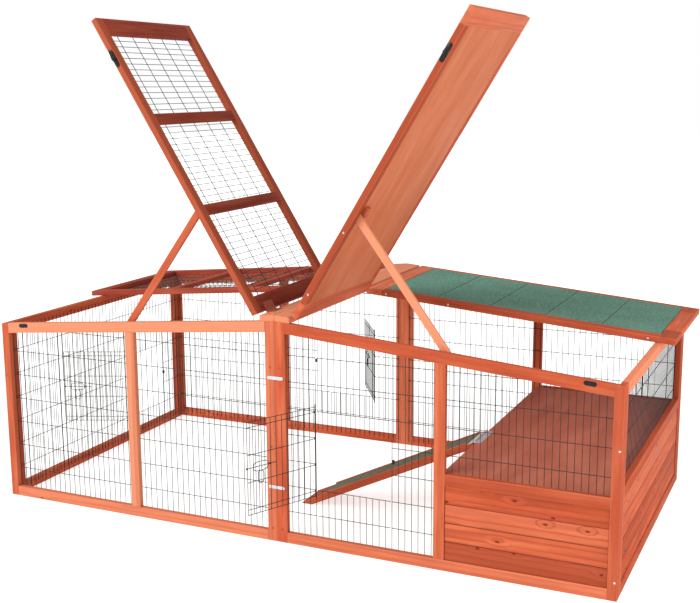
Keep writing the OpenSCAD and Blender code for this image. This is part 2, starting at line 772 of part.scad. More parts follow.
// The ramp's own axes: x down the ramp from its hinge pin, z up from it
module on_ramp() {
    translate([ramp_hinge_x, 0, ramp_hinge_z]) mirror([1, 0, 0]) rotate([0, ramp_slope, 0]) children();
}
module ramp_board() {
    low = -leaf_t - batten_t;
    color(wood) on_ramp() {
        upright(ramp_y, ramp_w) polygon([[ramp_start, low], [ramp_heel, low],
            [ramp_foot, -leaf_t - ramp_tip], [ramp_foot, -leaf_t], [ramp_start, -leaf_t]]);
        for (y = [ramp_y, ramp_y + ramp_w - ramp_edge_w])
            translate([ramp_felt_x, y, -leaf_t]) cube([ramp_felt_l, ramp_edge_w, ramp_edge_h]);
    }
}
module ramp_felt() {
    color(felt_green) on_ramp() translate([ramp_felt_x, ramp_y + ramp_edge_w + 1, -leaf_t])
        cube([ramp_felt_l, ramp_w - 2 * ramp_edge_w - 2, felt_t]);
}

// The hinge at the ramp's head: five knuckles, the pin staked in the floor's leaf
ramp_knuckle_l = ramp_w / 5;
module ramp_knuckles(which) {
    for (i = which) turned(ramp_barrel_r, ramp_y + i * ramp_knuckle_l,
        ramp_y + (i + 1) * ramp_knuckle_l - 2 * joint_gap);
}
module floor_hinge_leaf() {
    color(steel) translate([ramp_hinge_x, 0, ramp_hinge_z]) {
        ramp_knuckles([0, 2, 4]);
        turned(pin_r, ramp_y, ramp_y + ramp_w - 2 * joint_gap);
        for (i = [0, 2, 4]) translate([0, ramp_y + i * ramp_knuckle_l, -ramp_barrel_r])
            cube([ramp_leaf_w, ramp_knuckle_l - 2 * joint_gap, leaf_t]);
        translate([ramp_barrel_r + 1, ramp_y, -ramp_barrel_r])
            cube([ramp_leaf_w - ramp_barrel_r - 1, ramp_w - 2 * joint_gap, leaf_t]);
    }
}
module ramp_hinge_leaf() {
    color(steel) on_ramp() difference() {
        union() {
            ramp_knuckles([1, 3]);
            for (i = [1, 3]) translate([0, ramp_y + i * ramp_knuckle_l, -leaf_t])
                cube([ramp_leaf_w, ramp_knuckle_l - 2 * joint_gap, leaf_t]);
            translate([ramp_barrel_r + 2, ramp_y, -leaf_t])
                cube([ramp_leaf_w - ramp_barrel_r - 2, ramp_w - 2 * joint_gap, leaf_t]);
        }
        turned(pin_r + run_clear, ramp_y - 1, ramp_y + ramp_w);
    }
}

// Small fittings -------------------------------------------------------------------------------------

// Both long frames, front and back, left and right
module on_long_frames() {
    for (back = [false, true]) translate([0, back ? run_d : 0, 0]) mirror([0, back ? 1 : 0, 0]) {
        children();
        left() children();
    }
}
module joining_plates() {
    color(steel) for (y = [-plate_t, run_d]) for (z = join_zs)
        translate([0, 0, z]) upright(y, plate_t) rounded_bar(join_plate_l, join_plate_h);
}
module joining_bolts() {
    color(steel) on_long_frames() for (z = join_zs)
        translate([bolt_offset, 0, z]) turned(screw_r, -plate_t - 2.5, -plate_t);
}
module frame_screws() {
    color(steel) on_long_frames() {
        for (z = screw_zs) translate([batten_w / 2, 0, z]) turned(screw_r, -1, 0);
        for (z = post_screw_zs) translate([half_l - post_screw_in, 0, z]) turned(screw_r, -1, 0);
    }
}

left_front_frame();
right_front_frame();
left_rear_frame();
right_rear_frame();
left_end_frame();
right_end_frame();
ridge_boards();
left_front_mesh();
right_front_mesh();
left_rear_mesh();
right_rear_mesh();
left_end_mesh();
right_end_mesh();
front_planks();
end_planks();
rear_planks();
upper_floor();
floor_bearers();
left_roof_frame();
left_roof_mesh();
right_roof_frame();
right_roof_ply();
right_roof_felt();
joining_plates();
joining_bolts();
frame_screws();
lid_keepers();
door_rods();
door_catches();
ridge_hinge_leaves();
lid_hinge_pins();
floor_hinge_leaf();
prop_bolts();
left_lid_frame();
left_lid_mesh();
left_lid_hinges();
left_prop_block();
left_latch_plate();
left_latch_turn();
left_prop();
right_lid_frame();
right_lid_ply();
right_lid_felt();
right_lid_hinges();
right_prop_block();
right_latch_plate();
right_latch_turn();
right_prop();
front_door();
front_door_latch();
left_door();
left_door_latch();
rear_door();
rear_door_latch();
ramp_board();
ramp_felt();
ramp_hinge_leaf();
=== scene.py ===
import json
import math
import random
import bpy
import numpy as np
from mathutils import Matrix, Vector


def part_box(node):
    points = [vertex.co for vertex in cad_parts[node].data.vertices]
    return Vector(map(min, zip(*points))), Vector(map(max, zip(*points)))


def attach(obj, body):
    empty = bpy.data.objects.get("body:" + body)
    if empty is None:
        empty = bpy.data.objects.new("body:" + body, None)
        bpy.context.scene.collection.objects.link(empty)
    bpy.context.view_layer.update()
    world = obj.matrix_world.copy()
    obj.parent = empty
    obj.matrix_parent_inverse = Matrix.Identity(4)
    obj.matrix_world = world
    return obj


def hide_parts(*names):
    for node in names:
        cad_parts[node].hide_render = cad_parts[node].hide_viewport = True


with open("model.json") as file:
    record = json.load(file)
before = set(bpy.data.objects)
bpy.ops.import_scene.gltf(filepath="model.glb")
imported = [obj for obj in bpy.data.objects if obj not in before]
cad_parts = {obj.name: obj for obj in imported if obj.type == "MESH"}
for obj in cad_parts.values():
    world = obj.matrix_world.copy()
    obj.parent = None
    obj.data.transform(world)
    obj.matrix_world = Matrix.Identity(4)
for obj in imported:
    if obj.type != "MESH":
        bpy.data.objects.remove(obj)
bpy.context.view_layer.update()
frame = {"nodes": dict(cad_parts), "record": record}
cadNodes = frame["nodes"]
jointByName = {j["name"]: j for j in frame["record"]["behaviour"]["joints"]}
print("frame loaded:", len(cadNodes), "nodes")

# lengths are metres in the frame's axes: X along the front, Y to the back, Z up
mm = 0.001


def low(node):
    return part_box(node)[0]


def high(node):
    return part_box(node)[1]


# selecting and finishing

def pick(*pieces):
    if bpy.context.object and bpy.context.object.mode != "OBJECT":
        bpy.ops.object.mode_set(mode="OBJECT")
    bpy.ops.object.select_all(action="DESELECT")
    for piece in pieces:
        piece.select_set(True)
    bpy.context.view_layer.objects.active = pieces[0]
    return pieces[0]


def joined(pieces, name):
    piece = pick(*pieces)
    if len(pieces) > 1:
        bpy.ops.object.join()
    piece.name = piece.data.name = name
    return piece


def settled(piece):
    pick(piece)
    bpy.ops.object.transform_apply(location=True, rotation=True, scale=True)
    return piece


def started(addPrimitive, **settings):  # a new primitive, with nothing else selected
    bpy.ops.object.select_all(action="DESELECT")
    addPrimitive(**settings)
    return bpy.context.object


def block(size, center):
    piece = started(bpy.ops.mesh.primitive_cube_add, size=1.0, location=center)
    piece.scale = size
    return settled(piece)


def cornersOf(piece):
    return np.array([v.co[:] for v in piece.data.vertices])


def placed(piece, matrix):
    piece.data.transform(matrix)
    if matrix.determinant() < 0:
        outward(piece)
    piece.data.update()
    return piece


def outward(piece):
    pick(piece)
    bpy.ops.object.mode_set(mode="EDIT")
    bpy.ops.mesh.select_all(action="SELECT")
    bpy.ops.mesh.normals_make_consistent(inside=False)
    bpy.ops.object.mode_set(mode="OBJECT")


def withModifier(piece, kind, **settings):
    pick(piece)
    modifier = piece.modifiers.new(kind.lower(), kind)
    for name, value in settings.items():
        setattr(modifier, name, value)
    bpy.ops.object.modifier_apply(modifier=modifier.name)
    return piece


def inRow(piece, count, step):
    if count > 1:
        withModifier(piece, "ARRAY", count=count, use_relative_offset=False, use_constant_offset=True,
                     constant_offset_displace=step)
    return piece


def copyOf(piece, matrix):
    other = piece.copy()
    other.data = piece.data.copy()
    bpy.context.scene.collection.objects.link(other)
    return placed(other, matrix)


def nodeOf(name):  # ridgeBoards stands for the node ridge_boards
    return "".join("_" + c.lower() if c.isupper() else c for c in name)


def dressed(piece, material, body, *nodes):
    piece.data.materials.clear()
    piece.data.materials.append(material)
    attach(piece, body)
    if nodes:
        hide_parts(*nodes)
    return piece


# colours and nodes

def stain(code):  # sRGB hex to linear
    def linear(c):
        return c / 12.92 if c <= 0.04045 else ((c + 0.055) / 1.055) ** 2.4
    return tuple(linear(int(code[i:i + 2], 16) / 255) for i in (1, 3, 5)) + (1.0,)


def addNode(tree, kind, settings=None, values=None, links=None, stops=None):
    node = tree.nodes.new("ShaderNode" + kind)
    for name, value in (settings or {}).items():
        setattr(node, name, value)
    for socket, value in (values or {}).items():
        node.inputs[socket].default_value = value
    for socket, source in (links or {}).items():
        tree.links.new(source, node.inputs[socket])
    if stops:
        ramp = node.color_ramp.elements
        while len(ramp) < len(stops):
            ramp.new(0.5)
        for element, (place, color) in zip(ramp, stops):
            element.position = place
            element.color = color
    return node


def newMaterial(name, **base):
    material = bpy.data.materials.new(name)
    material.use_nodes = True
    tree = material.node_tree
    shader = tree.nodes["Principled BSDF"]
    for socket, value in base.items():
        shader.inputs[socket.replace("_", " ")].default_value = value
    return material, tree, shader


def intoShader(tree, shader, **sources):
    for socket, source in sources.items():
        tree.links.new(source, shader.inputs[socket.replace("_", " ")])


def gray(v):
    return (v, v, v, 1.0)


ofColors = {"data_type": "RGBA"}
colorA, colorB, mixedColor = 6, 7, 2  # the colour sockets of a Mix node


def glazedSpruce(name, look):
    # spruce battens, sawn and planed, under a thin orange-red glaze: the growth rings and knots show through
    # it, it is satin, and its arrises are drawn in a colour of their own
    material, tree, shader = newMaterial(name, Roughness=0.5, IOR=1.45, Specular_IOR_Level=look["sheen"])
    grain, bleach, tint, arris = [addNode(tree, "Attribute", {"attribute_name": layer})
                                  for layer in ("grain", "bleach", "tint", "arris")]
    along = grain.outputs["Vector"]
    # a knot goes through the whole thickness: 20 by 7 mm in one cell of 200 by 70 mm out of ten, and in the
    # planks 20 by 11 mm in every second cell of 125 by 67 mm
    knotMap = addNode(tree, "Mapping", values={"Scale": look["knotCell"]}, links={"Vector": along})
    wobble = addNode(tree, "TexNoise", values={"Scale": 130.0, "Detail": 2.0}, links={"Vector": along})
    wobbled = addNode(tree, "Mix", dict(ofColors, blend_type="LINEAR_LIGHT"), {0: 0.05},
                      {colorA: knotMap.outputs[0], colorB: wobble.outputs["Color"]})
    knot = addNode(tree, "TexVoronoi", {"feature": "F1", "voronoi_dimensions": "2D"},
                   {"Scale": 1.0, "Randomness": 0.9}, {"Vector": wobbled.outputs[mixedColor]})
    cell = addNode(tree, "SeparateColor", links={"Color": knot.outputs["Color"]})
    chosen = addNode(tree, "Math", {"operation": "LESS_THAN"}, {1: look["knotShare"]}, {0: cell.outputs[0]})
    spot = addNode(tree, "MapRange", {"interpolation_type": "SMOOTHSTEP"},
                   {"From Min": look["knotSize"], "From Max": look["knotSize"] * 0.4, "To Min": 0.0,
                    "To Max": 0.85}, {"Value": knot.outputs["Distance"]})
    swirl = addNode(tree, "MapRange", {"interpolation_type": "SMOOTHSTEP"},
                    {"From Min": 0.4, "From Max": 0.0, "To Min": 0.0, "To Max": 0.007},
                    {"Value": knot.outputs["Distance"]})
    spotHere = addNode(tree, "Math", {"operation": "MULTIPLY"},
                       links={0: spot.outputs[0], 1: chosen.outputs[0]})
    swirlHere = addNode(tree, "Math", {"operation": "MULTIPLY"},
                        links={0: swirl.outputs[0], 1: chosen.outputs[0]})
    push = addNode(tree, "CombineXYZ", links={1: swirlHere.outputs[0], 2: swirlHere.outputs[0]})
    bent = addNode(tree, "VectorMath", {"operation": "ADD"}, links={0: along, 1: push.outputs[0]})
    # growth rings 6 mm apart about a pith outside the board, stretched 25 times along it
    ringMap = addNode(tree, "Mapping", values={"Scale": (0.04, 1.0, 1.0)}, links={"Vector": bent.outputs[0]})
    rings = addNode(tree, "TexWave", {"wave_type": "RINGS", "rings_direction": "X", "wave_profile": "SAW"},
                    {"Scale": 2 * math.pi / 20 / (look["ringWidth"] * mm), "Distortion": 3.0, "Detail": 2.0,
                     "Detail Scale": 0.35, "Detail Roughness": 0.55}, {"Vector": ringMap.outputs[0]})
    lateWood = addNode(tree, "ValToRGB", links={"Fac": rings.outputs["Fac"]},
                       stops=[(0.0, gray(0.0)), (0.55, gray(0.12)), (0.86, gray(1.0)), (1.0, gray(0.1))])
    # fibres 0.8 mm wide and 60 mm long
    fibreMap = addNode(tree, "Mapping", values={"Scale": (16, 1250, 1250)}, links={"Vector": bent.outputs[0]})
    fibre = addNode(tree, "TexNoise", values={"Scale": 1.0, "Detail": 3.0, "Roughness": 0.6},
                    links={"Vector": fibreMap.outputs[0]})
    # the glaze soaks in unevenly, in clouds 250 by 25 mm
    cloudMap = addNode(tree, "Mapping", values={"Scale": (4, 40, 40)}, links={"Vector": along})
    cloud = addNode(tree, "TexNoise", values={"Scale": 1.0, "Detail": 4.0, "Roughness": 0.55},
                    links={"Vector": cloudMap.outputs[0]})
    glaze = addNode(tree, "ValToRGB", links={"Fac": cloud.outputs["Fac"]},
                    stops=[(0.25, stain(look["deep"])), (0.5, stain(look["glaze"])),
                           (0.75, stain(look["light"]))])
    # a stick's pale and deep tones are mixed in here: random tone differences, and also painted highlight and
    # painted shade on chosen sticks
    bleached = addNode(tree, "Mix", ofColors, {colorB: stain(look["bleached"])},
                       {0: bleach.outputs["Fac"], colorA: glaze.outputs["Color"]})
    deepenedAndShaded = addNode(tree, "Mix", ofColors, {colorB: stain(look["deep"])},
                     {0: tint.outputs["Fac"], colorA: bleached.outputs[mixedColor]})
    ringShare = addNode(tree, "Math", {"operation": "MULTIPLY"}, {1: look["ringStrength"]},
                        {0: lateWood.outputs["Color"]})
    ringed = addNode(tree, "Mix", ofColors, {colorB: stain(look["ring"])},
                     {0: ringShare.outputs[0], colorA: deepenedAndShaded.outputs[mixedColor]})
    fibreShare = addNode(tree, "MapRange", None,
                         {"From Min": 0.45, "From Max": 0.8, "To Min": 0.0, "To Max": look["fibre"]},
                         {"Value": fibre.outputs["Fac"]})
    fibred = addNode(tree, "Mix", ofColors, {colorB: stain(look["ring"])},
                     {0: fibreShare.outputs[0], colorA: ringed.outputs[mixedColor]})
    knotted = addNode(tree, "Mix", ofColors, {colorB: stain(look["knot"])},
                      {0: spotHere.outputs[0], colorA: fibred.outputs[mixedColor]})
    # the arrises take their own colour in clouds: paler on the battens, dark along the planks' joints
    arrisShare = addNode(tree, "Math", {"operation": "MULTIPLY"},
                       links={0: arris.outputs["Fac"], 1: cloud.outputs["Fac"]})
    rubbed = addNode(tree, "Mix", ofColors, {colorB: stain(look["rubbed"])},
                     {0: arrisShare.outputs[0], colorA: knotted.outputs[mixedColor]})
    gloss = addNode(tree, "MapRange", None, {"From Min": 0.3, "From Max": 0.7, "To Min": look["satin"] - 0.08,
                                             "To Max": look["satin"] + 0.12}, {"Value": cloud.outputs["Fac"]})
    relief = addNode(tree, "Math", {"operation": "ADD"},
                     links={0: ringShare.outputs[0], 1: fibre.outputs["Fac"]})
    bump = addNode(tree, "Bump", values={"Strength": 0.35, "Distance": 0.25 * mm},
                   links={"Height": relief.outputs[0]})
    intoShader(tree, shader, Base_Color=rubbed.outputs[mixedColor], Roughness=gloss.outputs[0],
               Normal=bump.outputs[0])
    return material


def stainedPlywood(name, look):
    # birch-faced plywood with a thin brown-red stain wiped on: flat, with long soft smears and fine pores
    material, tree, shader = newMaterial(name, Roughness=0.6, IOR=1.45, Specular_IOR_Level=look["sheen"])
    along = addNode(tree, "Attribute", {"attribute_name": "grain"}).outputs["Vector"]
    # smears 330 by 80 mm, left by the cloth
    smearMap = addNode(tree, "Mapping", values={"Scale": (3, 12, 12)}, links={"Vector": along})
    smear = addNode(tree, "TexNoise", values={"Scale": 1.0, "Detail": 5.0, "Roughness": 0.55,
                                              "Distortion": 0.15}, links={"Vector": smearMap.outputs[0]})
    color = addNode(tree, "ValToRGB", links={"Fac": smear.outputs["Fac"]},
                    stops=[(0.3, stain(look["deep"])), (0.5, stain(look["glaze"])),
                           (0.72, stain(look["light"]))])
    # peeled-veneer figure: wide bands 40 mm apart
    bandMap = addNode(tree, "Mapping", values={"Scale": (0.12, 1.0, 1.0)}, links={"Vector": along})
    band = addNode(tree, "TexWave", {"wave_type": "BANDS", "bands_direction": "Y", "wave_profile": "SIN"},
                   {"Scale": 2 * math.pi / 20 / (40 * mm), "Distortion": 9.0, "Detail": 3.0,
                    "Detail Scale": 0.7}, {"Vector": bandMap.outputs[0]})
    bandShare = addNode(tree, "Math", {"operation": "MULTIPLY"}, {1: look["bandStrength"]},
                        {0: band.outputs["Fac"]})
    banded = addNode(tree, "Mix", ofColors, {colorB: stain(look["ring"])},
                     {0: bandShare.outputs[0], colorA: color.outputs["Color"]})
    # pores 1 mm wide and 20 mm long
    poreMap = addNode(tree, "Mapping", values={"Scale": (50, 1000, 1000)}, links={"Vector": along})
    pore = addNode(tree, "TexNoise", values={"Scale": 1.0, "Detail": 2.0},
                   links={"Vector": poreMap.outputs[0]})
    poreShare = addNode(tree, "MapRange", values={"From Min": 0.55, "From Max": 0.8, "To Min": 0.0,
                                                  "To Max": 0.15}, links={"Value": pore.outputs["Fac"]})
    pored = addNode(tree, "Mix", ofColors, {colorB: stain(look["ring"])},
                    {0: poreShare.outputs[0], colorA: banded.outputs[mixedColor]})
    bump = addNode(tree, "Bump", values={"Strength": 0.3, "Distance": 0.15 * mm},
                   links={"Height": pore.outputs["Fac"]})
    intoShader(tree, shader, Base_Color=pored.outputs[mixedColor], Normal=bump.outputs[0])
    return material


def mineralFelt(name, look):
    # bitumen roofing felt with crushed slate pressed in: matt, gritty, with pale and dark grains
    material, tree, shader = newMaterial(name, Roughness=0.92, IOR=1.5, Specular_IOR_Level=0.25)
    place = addNode(tree, "TexCoord").outputs["Object"]
    # slate grains are about 1 mm; drawn 2.5 mm wide so that they show
    grit = addNode(tree, "TexVoronoi", {"feature": "F1"}, {"Scale": 1 / (2.5 * mm), "Randomness": 1.0},
                   {"Vector": place})
    grain = addNode(tree, "SeparateColor", links={"Color": grit.outputs["Color"]})
    color = addNode(tree, "ValToRGB", links={"Fac": grain.outputs[0]},
                    stops=[(0.0, stain(look["dark"])), (0.25, stain(look["green"])),
                           (0.8, stain(look["green"])), (1.0, stain(look["pale"]))])
    # weather and rolling leave faint clouds 120 mm across
    cloud = addNode(tree, "TexNoise", values={"Scale": 1 / (120 * mm), "Detail": 4.0},
                    links={"Vector": place})
    share = addNode(tree, "MapRange", values={"From Min": 0.35, "From Max": 0.75, "To Min": 0.0,
                                              "To Max": 0.45}, links={"Value": cloud.outputs["Fac"]})
    clouded = addNode(tree, "Mix", ofColors, {colorB: stain(look["worn"])},
                      {0: share.outputs[0], colorA: color.outputs["Color"]})
    bump = addNode(tree, "Bump", values={"Strength": 0.7, "Distance": 0.6 * mm},
                   links={"Height": grit.outputs["Distance"]})
    intoShader(tree, shader, Base_Color=clouded.outputs[mixedColor], Normal=bump.outputs[0])
    return material


def coatedMetal(name, look, **base):
    # drawn or pressed steel under its coat: an even colour, dulled in spots where the coat is thin
    material, tree, shader = newMaterial(name, **base)
    place = addNode(tree, "TexCoord").outputs["Object"]
    spots = addNode(tree, "TexNoise", values={"Scale": 1 / (look["spot"] * mm), "Detail": 4.0,
                                              "Roughness": 0.65}, links={"Vector": place})
    color = addNode(tree, "ValToRGB", links={"Fac": spots.outputs["Fac"]},
                    stops=[(0.3, stain(look["dark"])), (0.55, stain(look["color"])),
                           (0.8, stain(look["pale"]))])
    dull = addNode(tree, "MapRange", None, {"From Min": 0.3, "From Max": 0.7, "To Min": look["rough"] - 0.08,
                                            "To Max": look["rough"] + 0.12}, {"Value": spots.outputs["Fac"]})
    bump = addNode(tree, "Bump", values={"Strength": 0.2, "Distance": 0.1 * mm},
                   links={"Height": spots.outputs["Fac"]})
    intoShader(tree, shader, Base_Color=color.outputs["Color"], Roughness=dull.outputs[0],
               Normal=bump.outputs[0])
    return material


# the pale colour of a stick's tone also serves as painted highlight, and the deep colour as painted shade
spruceLook = dict(glaze="#B85437", light="#CB6E4C", deep="#98452E", ring="#86361C", knot="#5C2514",
                  rubbed="#CC7650", bleached="#DB8D6B", knotCell=(5.0, 14.0, 1.0), knotShare=0.1,
                  knotSize=0.05, ringWidth=6.0, ringStrength=0.3, fibre=0.3, satin=0.62, sheen=0.03)
darkLook = dict(spruceLook, glaze="#984232", light="#A9533D", deep="#7B3022", ring="#5E2418",
                rubbed="#A8553A", bleached="#B65A3C", knotShare=0.0)
plankLook = dict(spruceLook, glaze="#B95335", light="#CB6E4A", deep="#9A4832", rubbed="#54200F",
                 knotCell=(8.0, 15.0, 1.0), knotShare=0.5, knotSize=0.08, ringStrength=0.5, fibre=0.4)
plyLook = dict(glaze="#BA6B4A", light="#C1775A", deep="#B06242", ring="#9A4A2A", bandStrength=0.03,
               sheen=0.08)
floorLook = dict(glaze="#AB624D", light="#B46D58", deep="#9E5844", ring="#7C3E2C", bandStrength=0.04,
                 sheen=0.06)
feltLook = dict(green="#4A7462", dark="#365347", pale="#8FAE9E", worn="#648C7C")

spruce = glazedSpruce("glazedSpruce", spruceLook)
darkSpruce = glazedSpruce("darkGlazedSpruce", darkLook)
plankSpruce = glazedSpruce("knottySpruce", plankLook)
lidPly = stainedPlywood("stainedPlywood", plyLook)
floorPly = stainedPlywood("stainedFloorPly", floorLook)
felt = mineralFelt("mineralFelt", feltLook)
rampFelt = mineralFelt("trampledFelt", dict(green="#5A604F", dark="#3E4238", pale="#868B78", worn="#70725E"))
meshWire = coatedMetal("coatedWire", dict(color="#1C1E1F", dark="#121314", pale="#2C2F30", spot=6, rough=0.5),
                       Metallic=0.0, Specular_IOR_Level=0.3)
zincSteel = coatedMetal("zincPlate", dict(color="#D2D4D8", dark="#AEB2B8", pale="#EEF0F2", spot=4,
                                          rough=0.38), Metallic=0.75)
blackIron = coatedMetal("blackEnamel", dict(color="#100F0D", dark="#080807", pale="#1E1C1A", spot=3,
                                            rough=0.26), Metallic=0.0, Specular_IOR_Level=0.3)
# steel that was brushed over with the glaze: hinges of the lids, screw heads of the centre posts
glazedSteel = coatedMetal("glazedSteel", dict(color="#A54C30", dark="#8C3E26", pale="#B8603F", spot=3,
                                              rough=0.5), Metallic=0.1, Specular_IOR_Level=0.3)
print("materials made")


# timber

timber = dict(arris=1.2 * mm, plankArris=1.6 * mm, propArris=2 * mm, segments=2,
              pithDepth=(45 * mm, 110 * mm), pithAside=30 * mm, tones=(-0.7, -0.4, -0.2, 0.0, 0.1, 0.25),
              boardArris=0.5 * mm, corner=math.radians(30), smoothUnder=math.radians(40),
              grainFrom=(0, 40), boardGrainFrom=(0, 9), squared=0.96, arrisArea=0.004)
woodDice = random.Random(7)


def loosePieces(piece):
    pick(piece)
    bpy.ops.object.mode_set(mode="EDIT")
    bpy.ops.mesh.select_all(action="SELECT")
    bpy.ops.mesh.remove_doubles(threshold=0.00001)
    bpy.ops.mesh.dissolve_limited(angle_limit=math.radians(0.5))
    bpy.ops.mesh.separate(type="LOOSE")
    bpy.ops.object.mode_set(mode="OBJECT")
    return sorted(bpy.context.selected_objects, key=lambda o: tuple(cornersOf(o).mean(0).round(5)))


def copyOfNode(name):
    node = cadNodes[nodeOf(name)]
    piece = node.copy()
    piece.data = node.data.copy()
    piece.parent = None
    for key in list(piece.keys()):
        del piece[key]
    bpy.context.scene.collection.objects.link(piece)
    return piece


def stickAxes(piece):  # the stick's own long way, width and thickness
    co = cornersOf(piece)
    middle = (co.min(0) + co.max(0)) / 2
    _, _, way = np.linalg.svd(co - co.mean(0), full_matrices=False)
    long = way[0] * (1 if way[0][np.argmax(abs(way[0]))] > 0 else -1)
    thin = way[2] - long * way[2].dot(long)
    thin = thin / np.linalg.norm(thin)
    return middle, np.array([long, np.cross(thin, long), thin])


def writeGrain(piece, axes, middle, start):
    values = (cornersOf(piece) - middle) @ axes.T + np.array(start)
    grain = piece.data.attributes.new("grain", "FLOAT_VECTOR", "POINT")
    grain.data.foreach_set("vector", values.astype(np.float32).ravel())


def writeEven(piece, name, value):
    layer = piece.data.attributes.new(name, "FLOAT", "FACE")
    layer.data.foreach_set("value", np.full(len(piece.data.polygons), value, np.float32))
    return layer


def sawn(piece, arris, tone):
    middle, axes = stickAxes(piece)
    withModifier(piece, "BEVEL", width=arris, segments=timber["segments"], limit_method="ANGLE",
                 angle_limit=timber["corner"], harden_normals=False, use_clamp_overlap=True)
    depth = woodDice.uniform(*timber["pithDepth"]) * woodDice.choice((-1, 1))
    aside = woodDice.uniform(-1, 1) * timber["pithAside"]
    writeGrain(piece, axes, middle, (woodDice.uniform(*timber["grainFrom"]), aside, depth))
    lot = woodDice.choice(timber["tones"])
    tone = lot if tone is None else tone
    # a tone above 0 pales the stick and one below deepens it; the listed tones include painted highlight and
    # painted shade
    writeEven(piece, "tint", max(0.0, -tone))
    writeEven(piece, "bleach", max(0.0, tone))
    arrises = writeEven(piece, "arris", 0.0)
    # an arris is a narrow face that squares with none of the stick's sides
    square = abs(np.array([f.normal[:] for f in piece.data.polygons]) @ axes.T).max(1)
    area = np.array([f.area for f in piece.data.polygons])
    narrow = (square < timber["squared"]) & (area < timber["arrisArea"])
    arrises.data.foreach_set("value", narrow.astype(np.float32))
    return piece


def timberPiece(name, body, material=spruce, arris=timber["arris"]):
    sticks = loosePieces(copyOfNode(name))
    tones = toneAndPaintedLightOf.get(name, (None,))
    piece = joined([sawn(stick, arris, tones[i % len(tones)]) for i, stick in enumerate(sticks)], name)
    bpy.ops.object.shade_smooth_by_angle(angle=timber["smoothUnder"])
    return dressed(piece, material, body, nodeOf(name))


framing = ("leftFrontFrame", "rightFrontFrame", "leftRearFrame", "rightRearFrame", "leftEndFrame",
           "rightEndFrame", "ridgeBoards", "floorBearers", "leftRoofFrame", "rightRoofFrame")
# the tone of each stick from the left, paler above 0 and deeper below it; the other frames' are drawn by lot.
# Some listed tones are painted light: the pale sticks of the left front frame are a painted highlight, the
# ridge boards and the right prop are paled as painted light where they lie in shade, and the deep sticks of
# the left end frame are painted shade on their inner faces
toneAndPaintedLightOf = {"leftFrontFrame": (0.1, 0.9, 0.8, 0.5, 0.3), "rightFrontFrame": (0.0, 0.3, 0.1, -0.2, -0.4, -0.5),
          "ridgeBoards": (0.8,), "leftLidFrame": (0.0, -0.2, 0.7, 0.5, 0.0, -0.3),
          "rightLidFrame": (0.1, -0.8, 0.0, 0.3), "leftEndFrame": (-0.8, -0.2, -0.3, -0.8),
          "rightEndFrame": (0.0, -0.2, -0.4, 0.7, -0.8), "leftProp": (0.1,), "rightProp": (1.0,),
          "frontPlanks": (-0.8, 0.1, 0.2, -0.1)}
for name in framing:
    timberPiece(name, "run", darkSpruce if name == "leftRoofFrame" else spruce)
for name in ("frontPlanks", "endPlanks", "rearPlanks"):
    timberPiece(name, "run", plankSpruce, timber["plankArris"])
for side, lidSpruce in (("left", darkSpruce), ("right", spruce)):
    timberPiece(side + "LidFrame", side + "_lid", lidSpruce)
    timberPiece(side + "PropBlock", side + "_lid")
    timberPiece(side + "Prop", side + "_prop", arris=timber["propArris"])
timberPiece("rampBoard", "ramp")
print("timber sawn")


def boardPiece(name, body, material):
    board = joined(loosePieces(copyOfNode(name)), name)
    middle, axes = stickAxes(board)
    withModifier(board, "BEVEL", width=timber["boardArris"], segments=1, limit_method="ANGLE",
                 angle_limit=timber["corner"])
    along, across = (woodDice.uniform(*timber["boardGrainFrom"]) for _ in range(2))
    writeGrain(board, axes, middle, (along, across, 0))
    return dressed(board, material, body, nodeOf(name))


boardPiece("rightRoofPly", "run", lidPly)
boardPiece("rightLidPly", "right_lid", lidPly)
boardPiece("upperFloor", "run", floorPly)

# roofing felt

feltSheet = dict(strips=5, gap=3 * mm, rim=0.8 * mm)


def feltStrips(name, body, strips, material):
    # the sheet lies in strips across the roof, each with softened edges
    whole = joined(loosePieces(copyOfNode(name)), name + "Whole")
    middle, axes = stickAxes(whole)
    co = (cornersOf(whole) - middle) @ axes.T
    size = co.max(0) - co.min(0)
    toFrame = Matrix(axes.T.tolist()).to_4x4()
    toFrame.translation = Vector(middle)
    bpy.data.objects.remove(whole)
    width = size[0] / strips
    made = []
    for i in range(strips):
        strip = block((width - feltSheet["gap"], size[1], size[2]), (-size[0] / 2 + (i + 0.5) * width, 0, 0))
        bpy.ops.object.mode_set(mode="EDIT")
        bpy.ops.mesh.select_all(action="SELECT")
        bpy.ops.mesh.bevel(offset=feltSheet["rim"], segments=2)
        bpy.ops.object.mode_set(mode="OBJECT")
        made.append(strip)
    return dressed(placed(joined(made, name), toFrame), material, body, nodeOf(name))


feltStrips("rightRoofFelt", "run", feltSheet["strips"], felt)
feltStrips("rightLidFelt", "right_lid", feltSheet["strips"], felt)
feltStrips("rampFelt", "ramp", 1, rampFelt)
print("felt laid")

# welded mesh

# wires 2 mm thick, coated; the rows are a little thicker and sunk into the uprights by the weld
net = dict(upright=1.05 * mm, row=1.2 * mm, rowSet=1.2 * mm, sides=8, bead=1.8 * mm, beadFlat=(0.8, 0.7, 0.8),
           uprightPitch=22.35 * mm, rowPitch=89.4 * mm, firstRow=104.5 * mm, roofRow=98 * mm, lap=16 * mm,
           shelfLap=12 * mm, drop=24 * mm, doorwayRim=5 * mm, start=20 * mm, postLap=18 * mm,
           plankLap=36 * mm, offWood=0.2 * mm, clear=2 * mm, doorAcross=12, doorRows=3)
frontHinge = jointByName["front_door_hinge"]["pos_m"]
sideHinge = jointByName["left_door_hinge"]["pos_m"]
halfLength = high("right_front_frame").x
depth = high("right_rear_frame").y
ridgeHeight = high("right_front_frame").z
thick = high("right_front_frame").y
doorWidth = net["doorAcross"] * net["uprightPitch"]
doorHeight = net["doorRows"] * net["rowPitch"]


